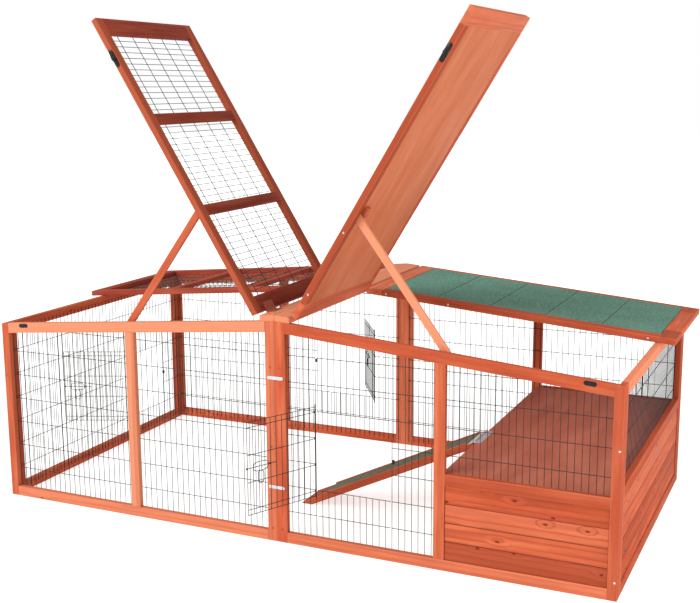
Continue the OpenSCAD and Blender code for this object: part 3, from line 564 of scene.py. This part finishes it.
def shift(x, y, z):
    return Matrix.Translation((x, y, z))


def turned(axis, angle):
    return Matrix.Rotation(angle, 4, axis)


# what is made for the right half and the front also serves the left half and the back
leftHand = Matrix.Scale(-1, 4, (1, 0, 0))
backHand = shift(0, depth, 0) @ Matrix.Scale(-1, 4, (0, 1, 0))
asDrawn = Matrix()
handed = {"left": leftHand, "right": asDrawn}


def straightWire(radius, start, end, sides=net["sides"]):
    way = Vector(end) - Vector(start)
    return settled(started(bpy.ops.mesh.primitive_cylinder_add, vertices=sides, radius=radius,
                           depth=way.length, location=(Vector(start) + Vector(end)) / 2,
                           rotation=way.to_track_quat("Z", "Y").to_euler()))


def gridLines(first, last, reference, pitch, slack=0.1 * mm):
    k0 = math.ceil((first - slack - reference) / pitch)
    k1 = math.floor((last + slack - reference) / pitch)
    return reference + k0 * pitch, k1 - k0 + 1


def netPatch(x0, x1, z0, z1, refX, refZ):
    # drawn in X and Z, its outer side towards -Y: the rows lie behind the uprights, welded at each crossing
    firstX, across = gridLines(x0, x1, refX, net["uprightPitch"])
    firstZ, up = gridLines(z0, z1, refZ, net["rowPitch"])
    aside, upward = (net["uprightPitch"], 0, 0), (0, 0, net["rowPitch"])
    rowY = net["rowSet"]
    made = []
    if across > 0:
        made.append(inRow(straightWire(net["upright"], (firstX, 0, z0), (firstX, 0, z1)), across, aside))
    if up > 0:
        made.append(inRow(straightWire(net["row"], (x0, rowY, firstZ), (x1, rowY, firstZ)), up, upward))
    if across > 0 and up > 0:
        bead = started(bpy.ops.mesh.primitive_ico_sphere_add, subdivisions=1, radius=net["bead"],
                       location=(firstX, rowY / 2, firstZ))
        bead.scale = net["beadFlat"]
        settled(bead)
        made.append(inRow(inRow(bead, across, aside), up, upward))
    return joined(made, "patch")


def trimmed(piece, point, normal):
    pick(piece)
    bpy.ops.object.mode_set(mode="EDIT")
    bpy.ops.mesh.select_all(action="SELECT")
    bpy.ops.mesh.bisect(plane_co=point, plane_no=normal, use_fill=True, clear_outer=True)
    bpy.ops.object.mode_set(mode="OBJECT")
    return piece


slope = math.atan2(ridgeHeight - high("right_end_frame").z, halfLength)
outerFace = thick + net["offWood"] + net["upright"]


def longNet(name, half, face, patches):
    whole = joined([netPatch(*patch, doorX, net["firstRow"]) for patch in patches], name)
    trimmed(whole, (0, 0, ridgeHeight - net["drop"]), (math.sin(slope), 0, math.cos(slope)))
    placed(whole, half @ face @ shift(0, outerFace, 0))
    return dressed(whole, meshWire, "run", nodeOf(name))


netStart = net["start"]
netEnd = halfLength - thick - net["clear"]
netTop = ridgeHeight
doorX = frontHinge[0]
mainRow = net["firstRow"] + net["rowPitch"]
shelterX = low("front_planks").x - net["postLap"]
shelterZ = high("front_planks").z + net["plankLap"]


def aroundDoorway(x0, x1, z0, z1, doorStart, doorLow):
    doorEnd, doorHigh, rim = doorStart + doorWidth, doorLow + doorHeight, net["doorwayRim"]
    return [(x0, doorStart, z0, z1), (doorEnd, x1, z0, z1), (doorStart + rim, doorEnd - rim, z0, doorLow),
            (doorStart + rim, doorEnd - rim, doorHigh, z1)]


doorwayPatches = aroundDoorway(netStart, netEnd, net["lap"], netTop, doorX, mainRow)
rightDoorwayPatches = aroundDoorway(netStart, shelterX, net["lap"], netTop, doorX, mainRow)
upperPatch = (shelterX + net["clear"], netEnd, shelterZ - net["shelfLap"], netTop)
longNet("leftFrontMesh", leftHand, asDrawn, [(netStart, netEnd, net["lap"], netTop)])
longNet("rightFrontMesh", asDrawn, asDrawn, rightDoorwayPatches + [upperPatch])
longNet("leftRearMesh", leftHand, backHand, doorwayPatches)
longNet("rightRearMesh", asDrawn, backHand, [(netStart, shelterX, net["lap"], netTop), upperPatch])


def endNet(name, half, patches):
    whole = joined([netPatch(*patch, sideHinge[1], net["firstRow"]) for patch in patches], name)
    # outer side towards +X on the right: X of the patch becomes Y
    place = Matrix(((0, -1, 0, halfLength - outerFace), (1, 0, 0, 0), (0, 0, 1, 0), (0, 0, 0, 1)))
    return dressed(placed(whole, half @ place), meshWire, "run", nodeOf(name))


sideStart, sideEnd = low("left_end_mesh").y, high("left_end_mesh").y
sideTop = high("left_end_mesh").z
endNet("rightEndMesh", asDrawn, [(sideStart, sideEnd, low("right_end_mesh").z, sideTop)])
endNet("leftEndMesh", leftHand, aroundDoorway(sideStart, sideEnd, net["lap"], sideTop, sideHinge[1],
                                              net["firstRow"]))

# the roof panel's and the lid's mesh: rows run down the slope, uprights across it
lidHinge = Vector(jointByName["right_lid_hinge"]["pos_m"])
lidHinge.y = 0
lidOpen = math.radians(jointByName["right_lid_hinge"]["range_deg"][1]) - slope
lidThick = 20 * mm
slopeNet = dict(head=63.2 * mm, foot=1065.1 * mm, firstUpright=63 * mm, rim=36.2 * mm, panelSunk=1 * mm)


def roofNet(name, body, place, y0, y1):
    # patch X runs down the slope, patch Z becomes Y, patch Y becomes height under the top face
    patch = (slopeNet["head"], slopeNet["foot"], y0 + slopeNet["rim"], y1 - slopeNet["rim"])
    whole = joined([netPatch(*patch, slopeNet["firstUpright"], y0 + net["roofRow"])], name)
    under = lidThick - net["offWood"] - net["row"] - net["rowSet"]
    lay = Matrix(((1, 0, 0, 0), (0, 0, 1, 0), (0, -1, 0, -under), (0, 0, 0, 1)))
    placed(whole, leftHand @ place @ lay)
    outward(whole)
    return dressed(whole, meshWire, body, nodeOf(name))


lidPlace = shift(*lidHinge) @ turned("Y", -lidOpen)
ridgePlace = shift(*lidHinge) @ turned("Y", slope)
roofPlace = shift(0, 0, -slopeNet["panelSunk"] / math.cos(slope)) @ ridgePlace
roofFront, roofBack = low("left_roof_frame").y, high("left_roof_frame").y
lidDepth = high("left_lid_frame").y
roofNet("leftRoofMesh", "run", roofPlace, roofFront, roofBack)
roofNet("leftLidMesh", "left_lid", lidPlace, 0, lidDepth)
print("mesh welded")

# steel fittings

def choose(piece, kind, wanted):  # leaves the piece in edit mode
    pick(piece)
    bpy.ops.object.mode_set(mode="EDIT")
    bpy.ops.mesh.select_mode(type=kind)
    bpy.ops.mesh.select_all(action="DESELECT")
    bpy.ops.object.mode_set(mode="OBJECT")
    corners = piece.data.vertices
    for item in corners if kind == "VERT" else piece.data.edges:
        item.select = wanted(item.co) if kind == "VERT" else wanted(*(corners[v].co for v in item.vertices))
    bpy.ops.object.mode_set(mode="EDIT")


def rimmed(piece, width):
    return withModifier(piece, "BEVEL", width=width, segments=2, limit_method="ANGLE",
                        angle_limit=math.radians(60))


def turnedRod(radius, start, end, rim=0.3 * mm, sides=24):
    return rimmed(straightWire(radius, start, end, sides), rim)


def barPlate(length, width, thick, rim=0.4 * mm):
    # a flat bar along X with round ends, its back on the XZ plane and its face towards -Y
    plate = block((length, thick, width), (0, -thick / 2, 0))
    choose(plate, "EDGE", lambda a, b: abs(a.y - b.y) > thick / 2)
    bpy.ops.mesh.bevel(offset=0.49 * width, segments=8, affect="EDGES")
    bpy.ops.object.mode_set(mode="OBJECT")
    return rimmed(plate, rim)


def spread(pattern, places):  # copies of a pattern, which itself goes
    made = [copyOf(pattern, place) for place in places]
    bpy.data.objects.remove(pattern)
    return made


# the dome, the recess and its turn are shares of the head's own size
screw = dict(radius=3.5 * mm, height=1 * mm, leafScrew=(2.4 * mm, 0.7 * mm), latchScrew=(2.4 * mm, 0.8 * mm),
             dome=0.45, recess=(1.3, 0.3), turn=0.4)


def crossHead(radius, height):
    # a screw's pan head that faces -Y, with its cross recess
    head = turnedRod(radius, (0, 0, 0), (0, -height, 0), screw["dome"] * height, 20)
    long, wide = (share * radius for share in screw["recess"])
    for angle in (0, math.pi / 2):
        recess = placed(block((long, height, wide), (0, -height, 0)), turned("Y", angle + screw["turn"]))
        withModifier(head, "BOOLEAN", object=recess, operation="DIFFERENCE", solver="EXACT")
        bpy.data.objects.remove(recess)
    return head


def wireRing(radius, wire, sides):  # round Z
    return started(bpy.ops.mesh.primitive_torus_add, major_radius=radius, minor_radius=wire,
                   major_segments=sides, minor_segments=8)


def coilOf(radius, wire, turns, sides=20):  # round Z, its middle at the origin
    coil = inRow(wireRing(radius, wire, sides), turns, (0, 0, 2 * wire))
    return placed(coil, shift(0, 0, -(turns - 1) * wire))


def ovalLoop(length, height, wire):
    # a ring drawn out along X, then stood up in X and Z
    loop = wireRing(height / 2 - wire, wire, 32)
    for side in (-1, 1):
        choose(loop, "VERT", lambda co: side * co.x > 0.01 * mm)
        bpy.ops.transform.translate(value=(side * (length - height) / 2, 0, 0))
        bpy.ops.object.mode_set(mode="OBJECT")
    return placed(loop, turned("X", math.pi / 2))


def bentWire(points, wire, bend):
    # a run of edges, its corners rounded, then given a round section
    piece = started(bpy.ops.mesh.primitive_plane_add, size=wire)
    bpy.ops.object.mode_set(mode="EDIT")
    bpy.ops.mesh.select_mode(type="VERT")
    bpy.ops.mesh.select_all(action="SELECT")
    bpy.ops.mesh.merge(type="CENTER")
    bpy.ops.transform.translate(value=points[0])
    for here, there in zip(points, points[1:]):
        bpy.ops.mesh.extrude_vertices_move(TRANSFORM_OT_translate={"value": Vector(there) - Vector(here)})
    bpy.ops.mesh.select_all(action="SELECT")
    bpy.ops.mesh.bevel(offset=bend, segments=5, affect="VERTICES")
    bpy.ops.object.mode_set(mode="OBJECT")
    bpy.ops.object.convert(target="CURVE")
    piece.data.bevel_depth = wire
    piece.data.bevel_resolution = 2
    piece.data.use_fill_caps = True
    bpy.ops.object.convert(target="MESH")
    return piece


def metalPiece(name, parts, material, body, *nodes):
    piece = joined(parts, name)
    bpy.ops.object.shade_smooth_by_angle(angle=timber["smoothUnder"])
    return dressed(piece, material, body, *nodes)


# wire doors

# a door's own axes: hinge rod up Z, the closed door along X, its outer side towards -Y
door = dict(start=3 * mm, lap=17.5 * mm, rod=1.5 * mm, rodPast=24.5 * mm, rodPeg=4.2 * mm, collar=2.7 * mm,
            collarBelow=(6.5 * mm, 4.5 * mm), coil=2.4 * mm, coilWire=0.8 * mm, coilTurns=5, guides=(8, 12),
            guideRing=2.3 * mm, guideWire=0.75 * mm, guideTurns=4, guideSides=14, rodBend=2.5 * mm)
bolt = dict(wire=1.25 * mm, tip=0.5 * mm, sides=12, depth=-2.65 * mm, travel=18 * mm, clear=5 * mm,
            past=1 * mm, heel=7, loop=(60 * mm, 32 * mm), handle=(44 * mm, 24 * mm))
catch = dict(beside=7 * mm, plate=(16 * mm, 10 * mm, 1 * mm), plateAside=-1.5 * mm, plateRim=0.3 * mm,
             bow=4 * mm, bend=2 * mm, reach=-5.95 * mm, sunk=0.5 * mm)
boltZ = doorHeight / 2
doorPlaces = {"front": shift(doorX, frontHinge[1], mainRow),
              "left": leftHand @ shift(-sideHinge[0], sideHinge[1], net["firstRow"])
              @ turned("Z", math.pi / 2)}
doorPlaces["rear"] = backHand @ leftHand @ doorPlaces["front"]


def doorGrid():
    wide = doorWidth + net["upright"]
    made = [netPatch(door["start"], wide, -door["lap"], doorHeight + door["lap"], 0, 0)]
    for z in (-door["lap"], doorHeight + door["lap"]):
        made.append(straightWire(net["row"], (door["start"], net["rowSet"], z), (wide, net["rowSet"], z)))
    coil = coilOf(door["coil"], door["coilWire"], door["coilTurns"])
    made.append(inRow(coil, net["doorRows"] + 1, (0, 0, net["rowPitch"])))
    guide = coilOf(door["guideRing"], door["guideWire"], door["guideTurns"], door["guideSides"])
    lay = [shift(k * net["uprightPitch"], bolt["depth"], boltZ) @ turned("Y", math.pi / 2)
           for k in door["guides"]]
    return made + spread(guide, lay)


def doorBolt():
    heel, tip = bolt["heel"] * net["uprightPitch"], doorWidth + bolt["past"]
    loopX = doorWidth - bolt["travel"] - bolt["loop"][0] / 2 - bolt["clear"]
    hang = (bolt["loop"][1] + bolt["handle"][0]) / 2 - 2 * bolt["wire"]
    upright = shift(loopX, bolt["depth"], boltZ - hang) @ turned("Y", math.pi / 2)
    return [turnedRod(bolt["wire"], (heel, bolt["depth"], boltZ), (tip, bolt["depth"], boltZ), bolt["tip"],
                      bolt["sides"]),
            placed(ovalLoop(*bolt["loop"], bolt["wire"]), shift(loopX, bolt["depth"], boltZ)),
            placed(ovalLoop(*bolt["handle"], bolt["wire"]), upright)]


def doorRod():
    foot, top, peg = -door["rodPast"], doorHeight + door["rodPast"], door["rodPeg"]
    rod = bentWire([(0, peg, foot), (0, 0, foot), (0, 0, top), (0, peg, top)], door["rod"], door["rodBend"])
    under, over = door["collarBelow"]
    return [rod, turnedRod(door["collar"], (0, 0, -under), (0, 0, -over))]


def doorCatch():
    bow, reach, back = catch["bow"], catch["reach"], door["rodPeg"] - catch["sunk"]
    wire = bentWire([(0, back, -bow), (0, reach, -bow), (0, reach, bow), (0, back, bow)], bolt["wire"],
                    catch["bend"])
    upright = shift(catch["plateAside"], door["rodPeg"], 0) @ turned("Y", math.pi / 2)
    plate = placed(barPlate(*catch["plate"], catch["plateRim"]), upright)
    for part in (wire, plate):
        placed(part, shift(doorWidth + catch["beside"], 0, boltZ))
    return [wire, plate]


for side, place in doorPlaces.items():
    hinge = jointByName[side + "_door_hinge"]
    opened = place @ turned("Z", -math.radians(hinge["range_deg"][1]))
    for name, parts, body in (("Door", doorGrid(), "_door"), ("DoorLatch", doorBolt(), "_latch")):
        piece = placed(joined(parts, side + name), opened)
        metalPiece(side + name, [piece], meshWire, side + body, nodeOf(side + name))
for name, parts in (("doorRods", doorRod()), ("doorCatches", doorCatch())):
    metalPiece(name, spread(joined(parts, name + "Pattern"), doorPlaces.values()), meshWire, "run",
               nodeOf(name))
print("doors hung")

# hinges and latches of the lids, bolts and screws

faceUp = turned("X", -math.pi / 2)


def hingePiece(name, body, headPlaces=(), material=zincSteel):
    heads = spread(crossHead(*screw["leafScrew"]), headPlaces)
    metalPiece(name, loosePieces(copyOfNode(name)) + heads, material, body, nodeOf(name))


# three small screws on each leaf, two near the barrel and one beyond
leaf = dict(inset=95 * mm, apart=18 * mm, lidRows=(13 * mm, 26 * mm), lidTop=1.5 * mm,
            ridgeRows=(-12 * mm, -22 * mm), ridgeTop=0.5 * mm)


def leafScrews(place, rows, top):
    spots = [(rows[0], -leaf["apart"]), (rows[0], leaf["apart"]), (rows[1], 0)]
    hinges = (leaf["inset"], lidDepth - leaf["inset"])
    return [place @ shift(r, y + at, top) @ faceUp for y in hinges for r, at in spots]


for side, hand in handed.items():
    hingePiece(side + "LidHinges", side + "_lid", leafScrews(hand @ lidPlace, leaf["lidRows"],
                                                             leaf["lidTop"]), glazedSteel)
fixedScrews = [place for hand in handed.values()
               for place in leafScrews(hand @ ridgePlace, leaf["ridgeRows"], leaf["ridgeTop"])]
hingePiece("ridgeHingeLeaves", "run", fixedScrews, glazedSteel)
hingePiece("lidHingePins", "run")

rampLeaf = dict(fall=math.radians(25.6), aside=42 * mm, rows=(14 * mm, 19 * mm), floorTop=-1.5 * mm)
rampHinge = shift(*jointByName["ramp_hinge"]["pos_m"])
rampSpots = [(row, y) for y in (-rampLeaf["aside"], rampLeaf["aside"]) for row in rampLeaf["rows"]]
rampPlace = rampHinge @ leftHand @ turned("Y", rampLeaf["fall"])
floorPlace = rampHinge @ shift(0, 0, rampLeaf["floorTop"])
hingePiece("floorHingeLeaf", "run", [floorPlace @ shift(x, y, 0) @ faceUp for x, y in rampSpots])
hingePiece("rampHingeLeaf", "ramp", [rampPlace @ shift(x, y, 0) @ faceUp for x, y in rampSpots])

# black enamelled turn buttons: a plate on the lid's edge, a stud, and a button that tapers to its tip
button = dict(plate=(62 * mm, 16 * mm, 2 * mm), screws=24 * mm, arm=(40 * mm, 18 * mm, 4 * mm),
              back=-2.5 * mm, ahead=11 * mm, taper=0.6, taperFrom=12 * mm, stud=(3 * mm, 1 * mm, 7.5 * mm),
              studHead=(4.5 * mm, 7 * mm, 8.5 * mm), armRim=0.9 * mm)
keeper = dict(plate=(38 * mm, 14 * mm, 2 * mm), screws=12 * mm, below=3 * mm)
enamelRim = 0.6 * mm


def screwedPlate(size, apart):
    at = [shift(s * apart, -size[2], 0) for s in (-1, 1)]
    return [barPlate(*size, enamelRim)] + spread(crossHead(*screw["latchScrew"]), at)


def latchPlate():
    radius, back, front = button["stud"]
    headRadius, headBack, headFront = button["studHead"]
    stud = turnedRod(radius, (0, -front, 0), (0, -back, 0))
    head = turnedRod(headRadius, (0, -headFront, 0), (0, -headBack, 0), enamelRim)
    return screwedPlate(button["plate"], button["screws"]) + [stud, head]


def latchTurn():
    arm = barPlate(*button["arm"], button["armRim"])
    placed(arm, shift(button["ahead"], button["back"], 0))
    choose(arm, "VERT", lambda co: co.x > button["taperFrom"])
    bpy.ops.transform.resize(value=(1, 1, button["taper"]), center_override=(0, 0, 0))
    bpy.ops.object.mode_set(mode="OBJECT")
    return arm


turnPivot = Vector(jointByName["right_turn_pivot"]["pos_m"])
latchPlace = shift(turnPivot.x, 0, turnPivot.z) @ turned("Y", -lidOpen)
for side, hand in handed.items():
    for name, parts, body in (("LatchPlate", latchPlate(), "_lid"), ("LatchTurn", [latchTurn()], "_turn")):
        piece = placed(joined(parts, side + name), hand @ latchPlace)
        metalPiece(side + name, [piece], blackIron, side + body, nodeOf(side + name))
pivotReach = math.hypot(turnPivot.x - lidHinge.x, turnPivot.z - lidHinge.z)
latchReach = math.sqrt(pivotReach ** 2 - (lidThick / 2) ** 2)
keeperX = lidHinge.x + latchReach * math.cos(slope)
keeperPlace = (shift(keeperX, 0, ridgeHeight - keeperX * math.tan(slope)) @ turned("Y", slope)
               @ shift(0, 0, -keeper["plate"][1] / 2 - keeper["below"]))
strikes = spread(joined(screwedPlate(keeper["plate"], keeper["screws"]), "strike"),
                 [hand @ keeperPlace for hand in handed.values()])
metalPiece("lidKeepers", strikes, blackIron, "run", "lid_keepers")

# radius, start and end of each round part of a prop's bolt
propBolt = dict(shank=(3 * mm, 5 * mm, 36.7 * mm), spacer=(6 * mm, 20.2 * mm, 23.5 * mm),
                head=(6 * mm, 2.8 * mm), headAt=35.9 * mm)
propPivot = Vector(jointByName["right_prop_pivot"]["pos_m"])
boltParts = [turnedRod(radius, (0, start, 0), (0, end, 0))
             for radius, start, end in (propBolt["shank"], propBolt["spacer"])]
boltParts.append(placed(crossHead(*propBolt["head"]), shift(0, propBolt["headAt"], 0) @ turned("Z", math.pi)))
propPlaces = [hand @ shift(propPivot.x, 0, propPivot.z) for hand in handed.values()]
metalPiece("propBolts", spread(joined(boltParts, "bolt"), propPlaces), zincSteel, "run", "prop_bolts")

# plates across the centre posts, front and back, each with two screws
tie = dict(plate=(59 * mm, 11 * mm, 2 * mm), screws=21 * mm, head=1.4 * mm)
tieHeights = [low("joining_plates").z + tie["plate"][1] / 2, high("joining_plates").z - tie["plate"][1] / 2]
tiePlaces = [face @ shift(0, 0, z) for face in (asDrawn, backHand) for z in tieHeights]
metalPiece("joiningPlates", spread(barPlate(*tie["plate"]), tiePlaces), zincSteel, "run", "joining_plates")
tieHeads = [place @ shift(s * tie["screws"], -tie["plate"][2], 0) for place in tiePlaces for s in (-1, 1)]
tieScrews = spread(crossHead(screw["radius"], tie["head"]), tieHeads)
metalPiece("joiningBolts", tieScrews, zincSteel, "run", "joining_bolts")

# framing screws: those of the right end posts are bright, the others went in before the glaze
midScrews = dict(aside=18 * mm, heights=(45 * mm, 330 * mm, 600 * mm))
postScrews = dict(aside=halfLength - 8.5 * mm, heights=(58 * mm, 462 * mm))
# down the slope of the roof's front edge and the lid's edge, and on the left end post's cheek
edgeScrews = dict(roof=(84 * mm, 325 * mm, 1031 * mm), roofUnder=10 * mm, lid=(101 * mm, 340 * mm),
                  lidUnder=12.5 * mm, cheek=(24 * mm, 590 * mm))


def screwPlaces(hand, row):
    return [hand @ face @ shift(row["aside"], 0, z) for face in (asDrawn, backHand) for z in row["heights"]]


def screwPiece(name, places, material, body, *nodes):
    metalPiece(name, spread(crossHead(screw["radius"], screw["height"]), places), material, body, *nodes)


centreScrews = [place for hand in handed.values() for place in screwPlaces(hand, midScrews)]
roofScrews = [roofPlace @ shift(r, roofFront, -edgeScrews["roofUnder"]) for r in edgeScrews["roof"]]
cheekScrew = shift(thick - halfLength, *edgeScrews["cheek"]) @ turned("Z", math.pi / 2)
lidScrews = [lidPlace @ shift(r, 0, -edgeScrews["lidUnder"]) for r in edgeScrews["lid"]]
screwPiece("frameScrews", screwPlaces(asDrawn, postScrews), zincSteel, "run", "frame_screws")
screwPiece("glazedScrews", centreScrews + screwPlaces(leftHand, postScrews), glazedSteel, "run",
           "frame_screws")
screwPiece("roofScrews", roofScrews + [cheekScrew], zincSteel, "run")
screwPiece("lidScrews", lidScrews, zincSteel, "right_lid")
print("fittings on")

# camera, stage and light

view = dict(focalPixels=1128.3, position=(1.698, -3.148, 1.499), yaw=24.40, pitch=10.80, roll=-0.32,
            imageWidth=700, sensor=36)


def photoCamera():
    yaw, pitch, roll = (math.radians(view[k]) for k in ("yaw", "pitch", "roll"))
    ahead = Vector((-math.sin(yaw) * math.cos(pitch), math.cos(yaw) * math.cos(pitch), -math.sin(pitch)))
    right = Vector((math.cos(yaw), math.sin(yaw), 0))
    up = right.cross(ahead)
    rolledRight = math.cos(roll) * right + math.sin(roll) * up
    rolledUp = math.cos(roll) * up - math.sin(roll) * right
    data = bpy.data.cameras.new("photoCamera")
    data.sensor_width = view["sensor"]
    data.lens = view["focalPixels"] * view["sensor"] / view["imageWidth"]
    camera = bpy.data.objects.new("photoCamera", data)
    bpy.context.scene.collection.objects.link(camera)
    turn = Matrix((rolledRight, rolledUp, -ahead)).transposed().to_4x4()
    turn.translation = Vector(view["position"])
    camera.matrix_world = turn
    bpy.context.scene.camera = camera


photoCamera()

studio = dict(floorWide=60, floor=("#BDBDBB", "#C4C4C2"), floorGlow=0.72, sky=0.72, backdrop=1.0)
sun = dict(power=2.6, position=(-2, -4, 4), way=(0.42, 0.72, -0.62), angle=math.radians(40))
fill = dict(power=32, position=(3.2, 0.2, 1.1), way=(-1, 0.1, -0.25), size=1.6)


def floorSheet():
    sheet = started(bpy.ops.mesh.primitive_plane_add, size=studio["floorWide"], location=(0, 0, -0.5 * mm))
    sheet.name = "studioFloor"
    # opal acrylic of a light table, with a faint tooth: it glows, so that the shadows stay pale
    material, tree, shader = newMaterial("opalFloor", Roughness=0.9, Emission_Color=(1, 1, 1, 1),
                                         Emission_Strength=studio["floorGlow"])
    place = addNode(tree, "TexCoord").outputs["Object"]
    tooth = addNode(tree, "TexNoise", values={"Scale": 3.0, "Detail": 3.0}, links={"Vector": place})
    color = addNode(tree, "ValToRGB", links={"Fac": tooth.outputs["Fac"]},
                    stops=[(0.2, stain(studio["floor"][0])), (0.8, stain(studio["floor"][1]))])
    intoShader(tree, shader, Base_Color=color.outputs["Color"])
    sheet.data.materials.append(material)


def addLight(name, kind, power, position, way, **shape):
    data = bpy.data.lights.new(name, kind)
    data.energy = power
    for key, value in shape.items():
        setattr(data, key, value)
    light = bpy.data.objects.new(name, data)
    bpy.context.scene.collection.objects.link(light)
    light.location = position
    light.rotation_euler = Vector(way).to_track_quat("-Z", "Y").to_euler()


floorSheet()
addLight("softSun", "SUN", **sun)
addLight("endFill", "AREA", **fill)
world = bpy.data.worlds.new("studioWhite")
world.use_nodes = True
sky = world.node_tree.nodes["Background"]
ray = addNode(world.node_tree, "LightPath")
strength = addNode(world.node_tree, "MapRange", None, {"To Min": studio["sky"], "To Max": studio["backdrop"]},
                   {"Value": ray.outputs["Is Camera Ray"]})
sky.inputs["Color"].default_value = (1, 1, 1, 1)
world.node_tree.links.new(strength.outputs[0], sky.inputs["Strength"])
bpy.context.scene.world = world
bpy.context.scene.view_settings.view_transform = "Standard"
print("stage set")
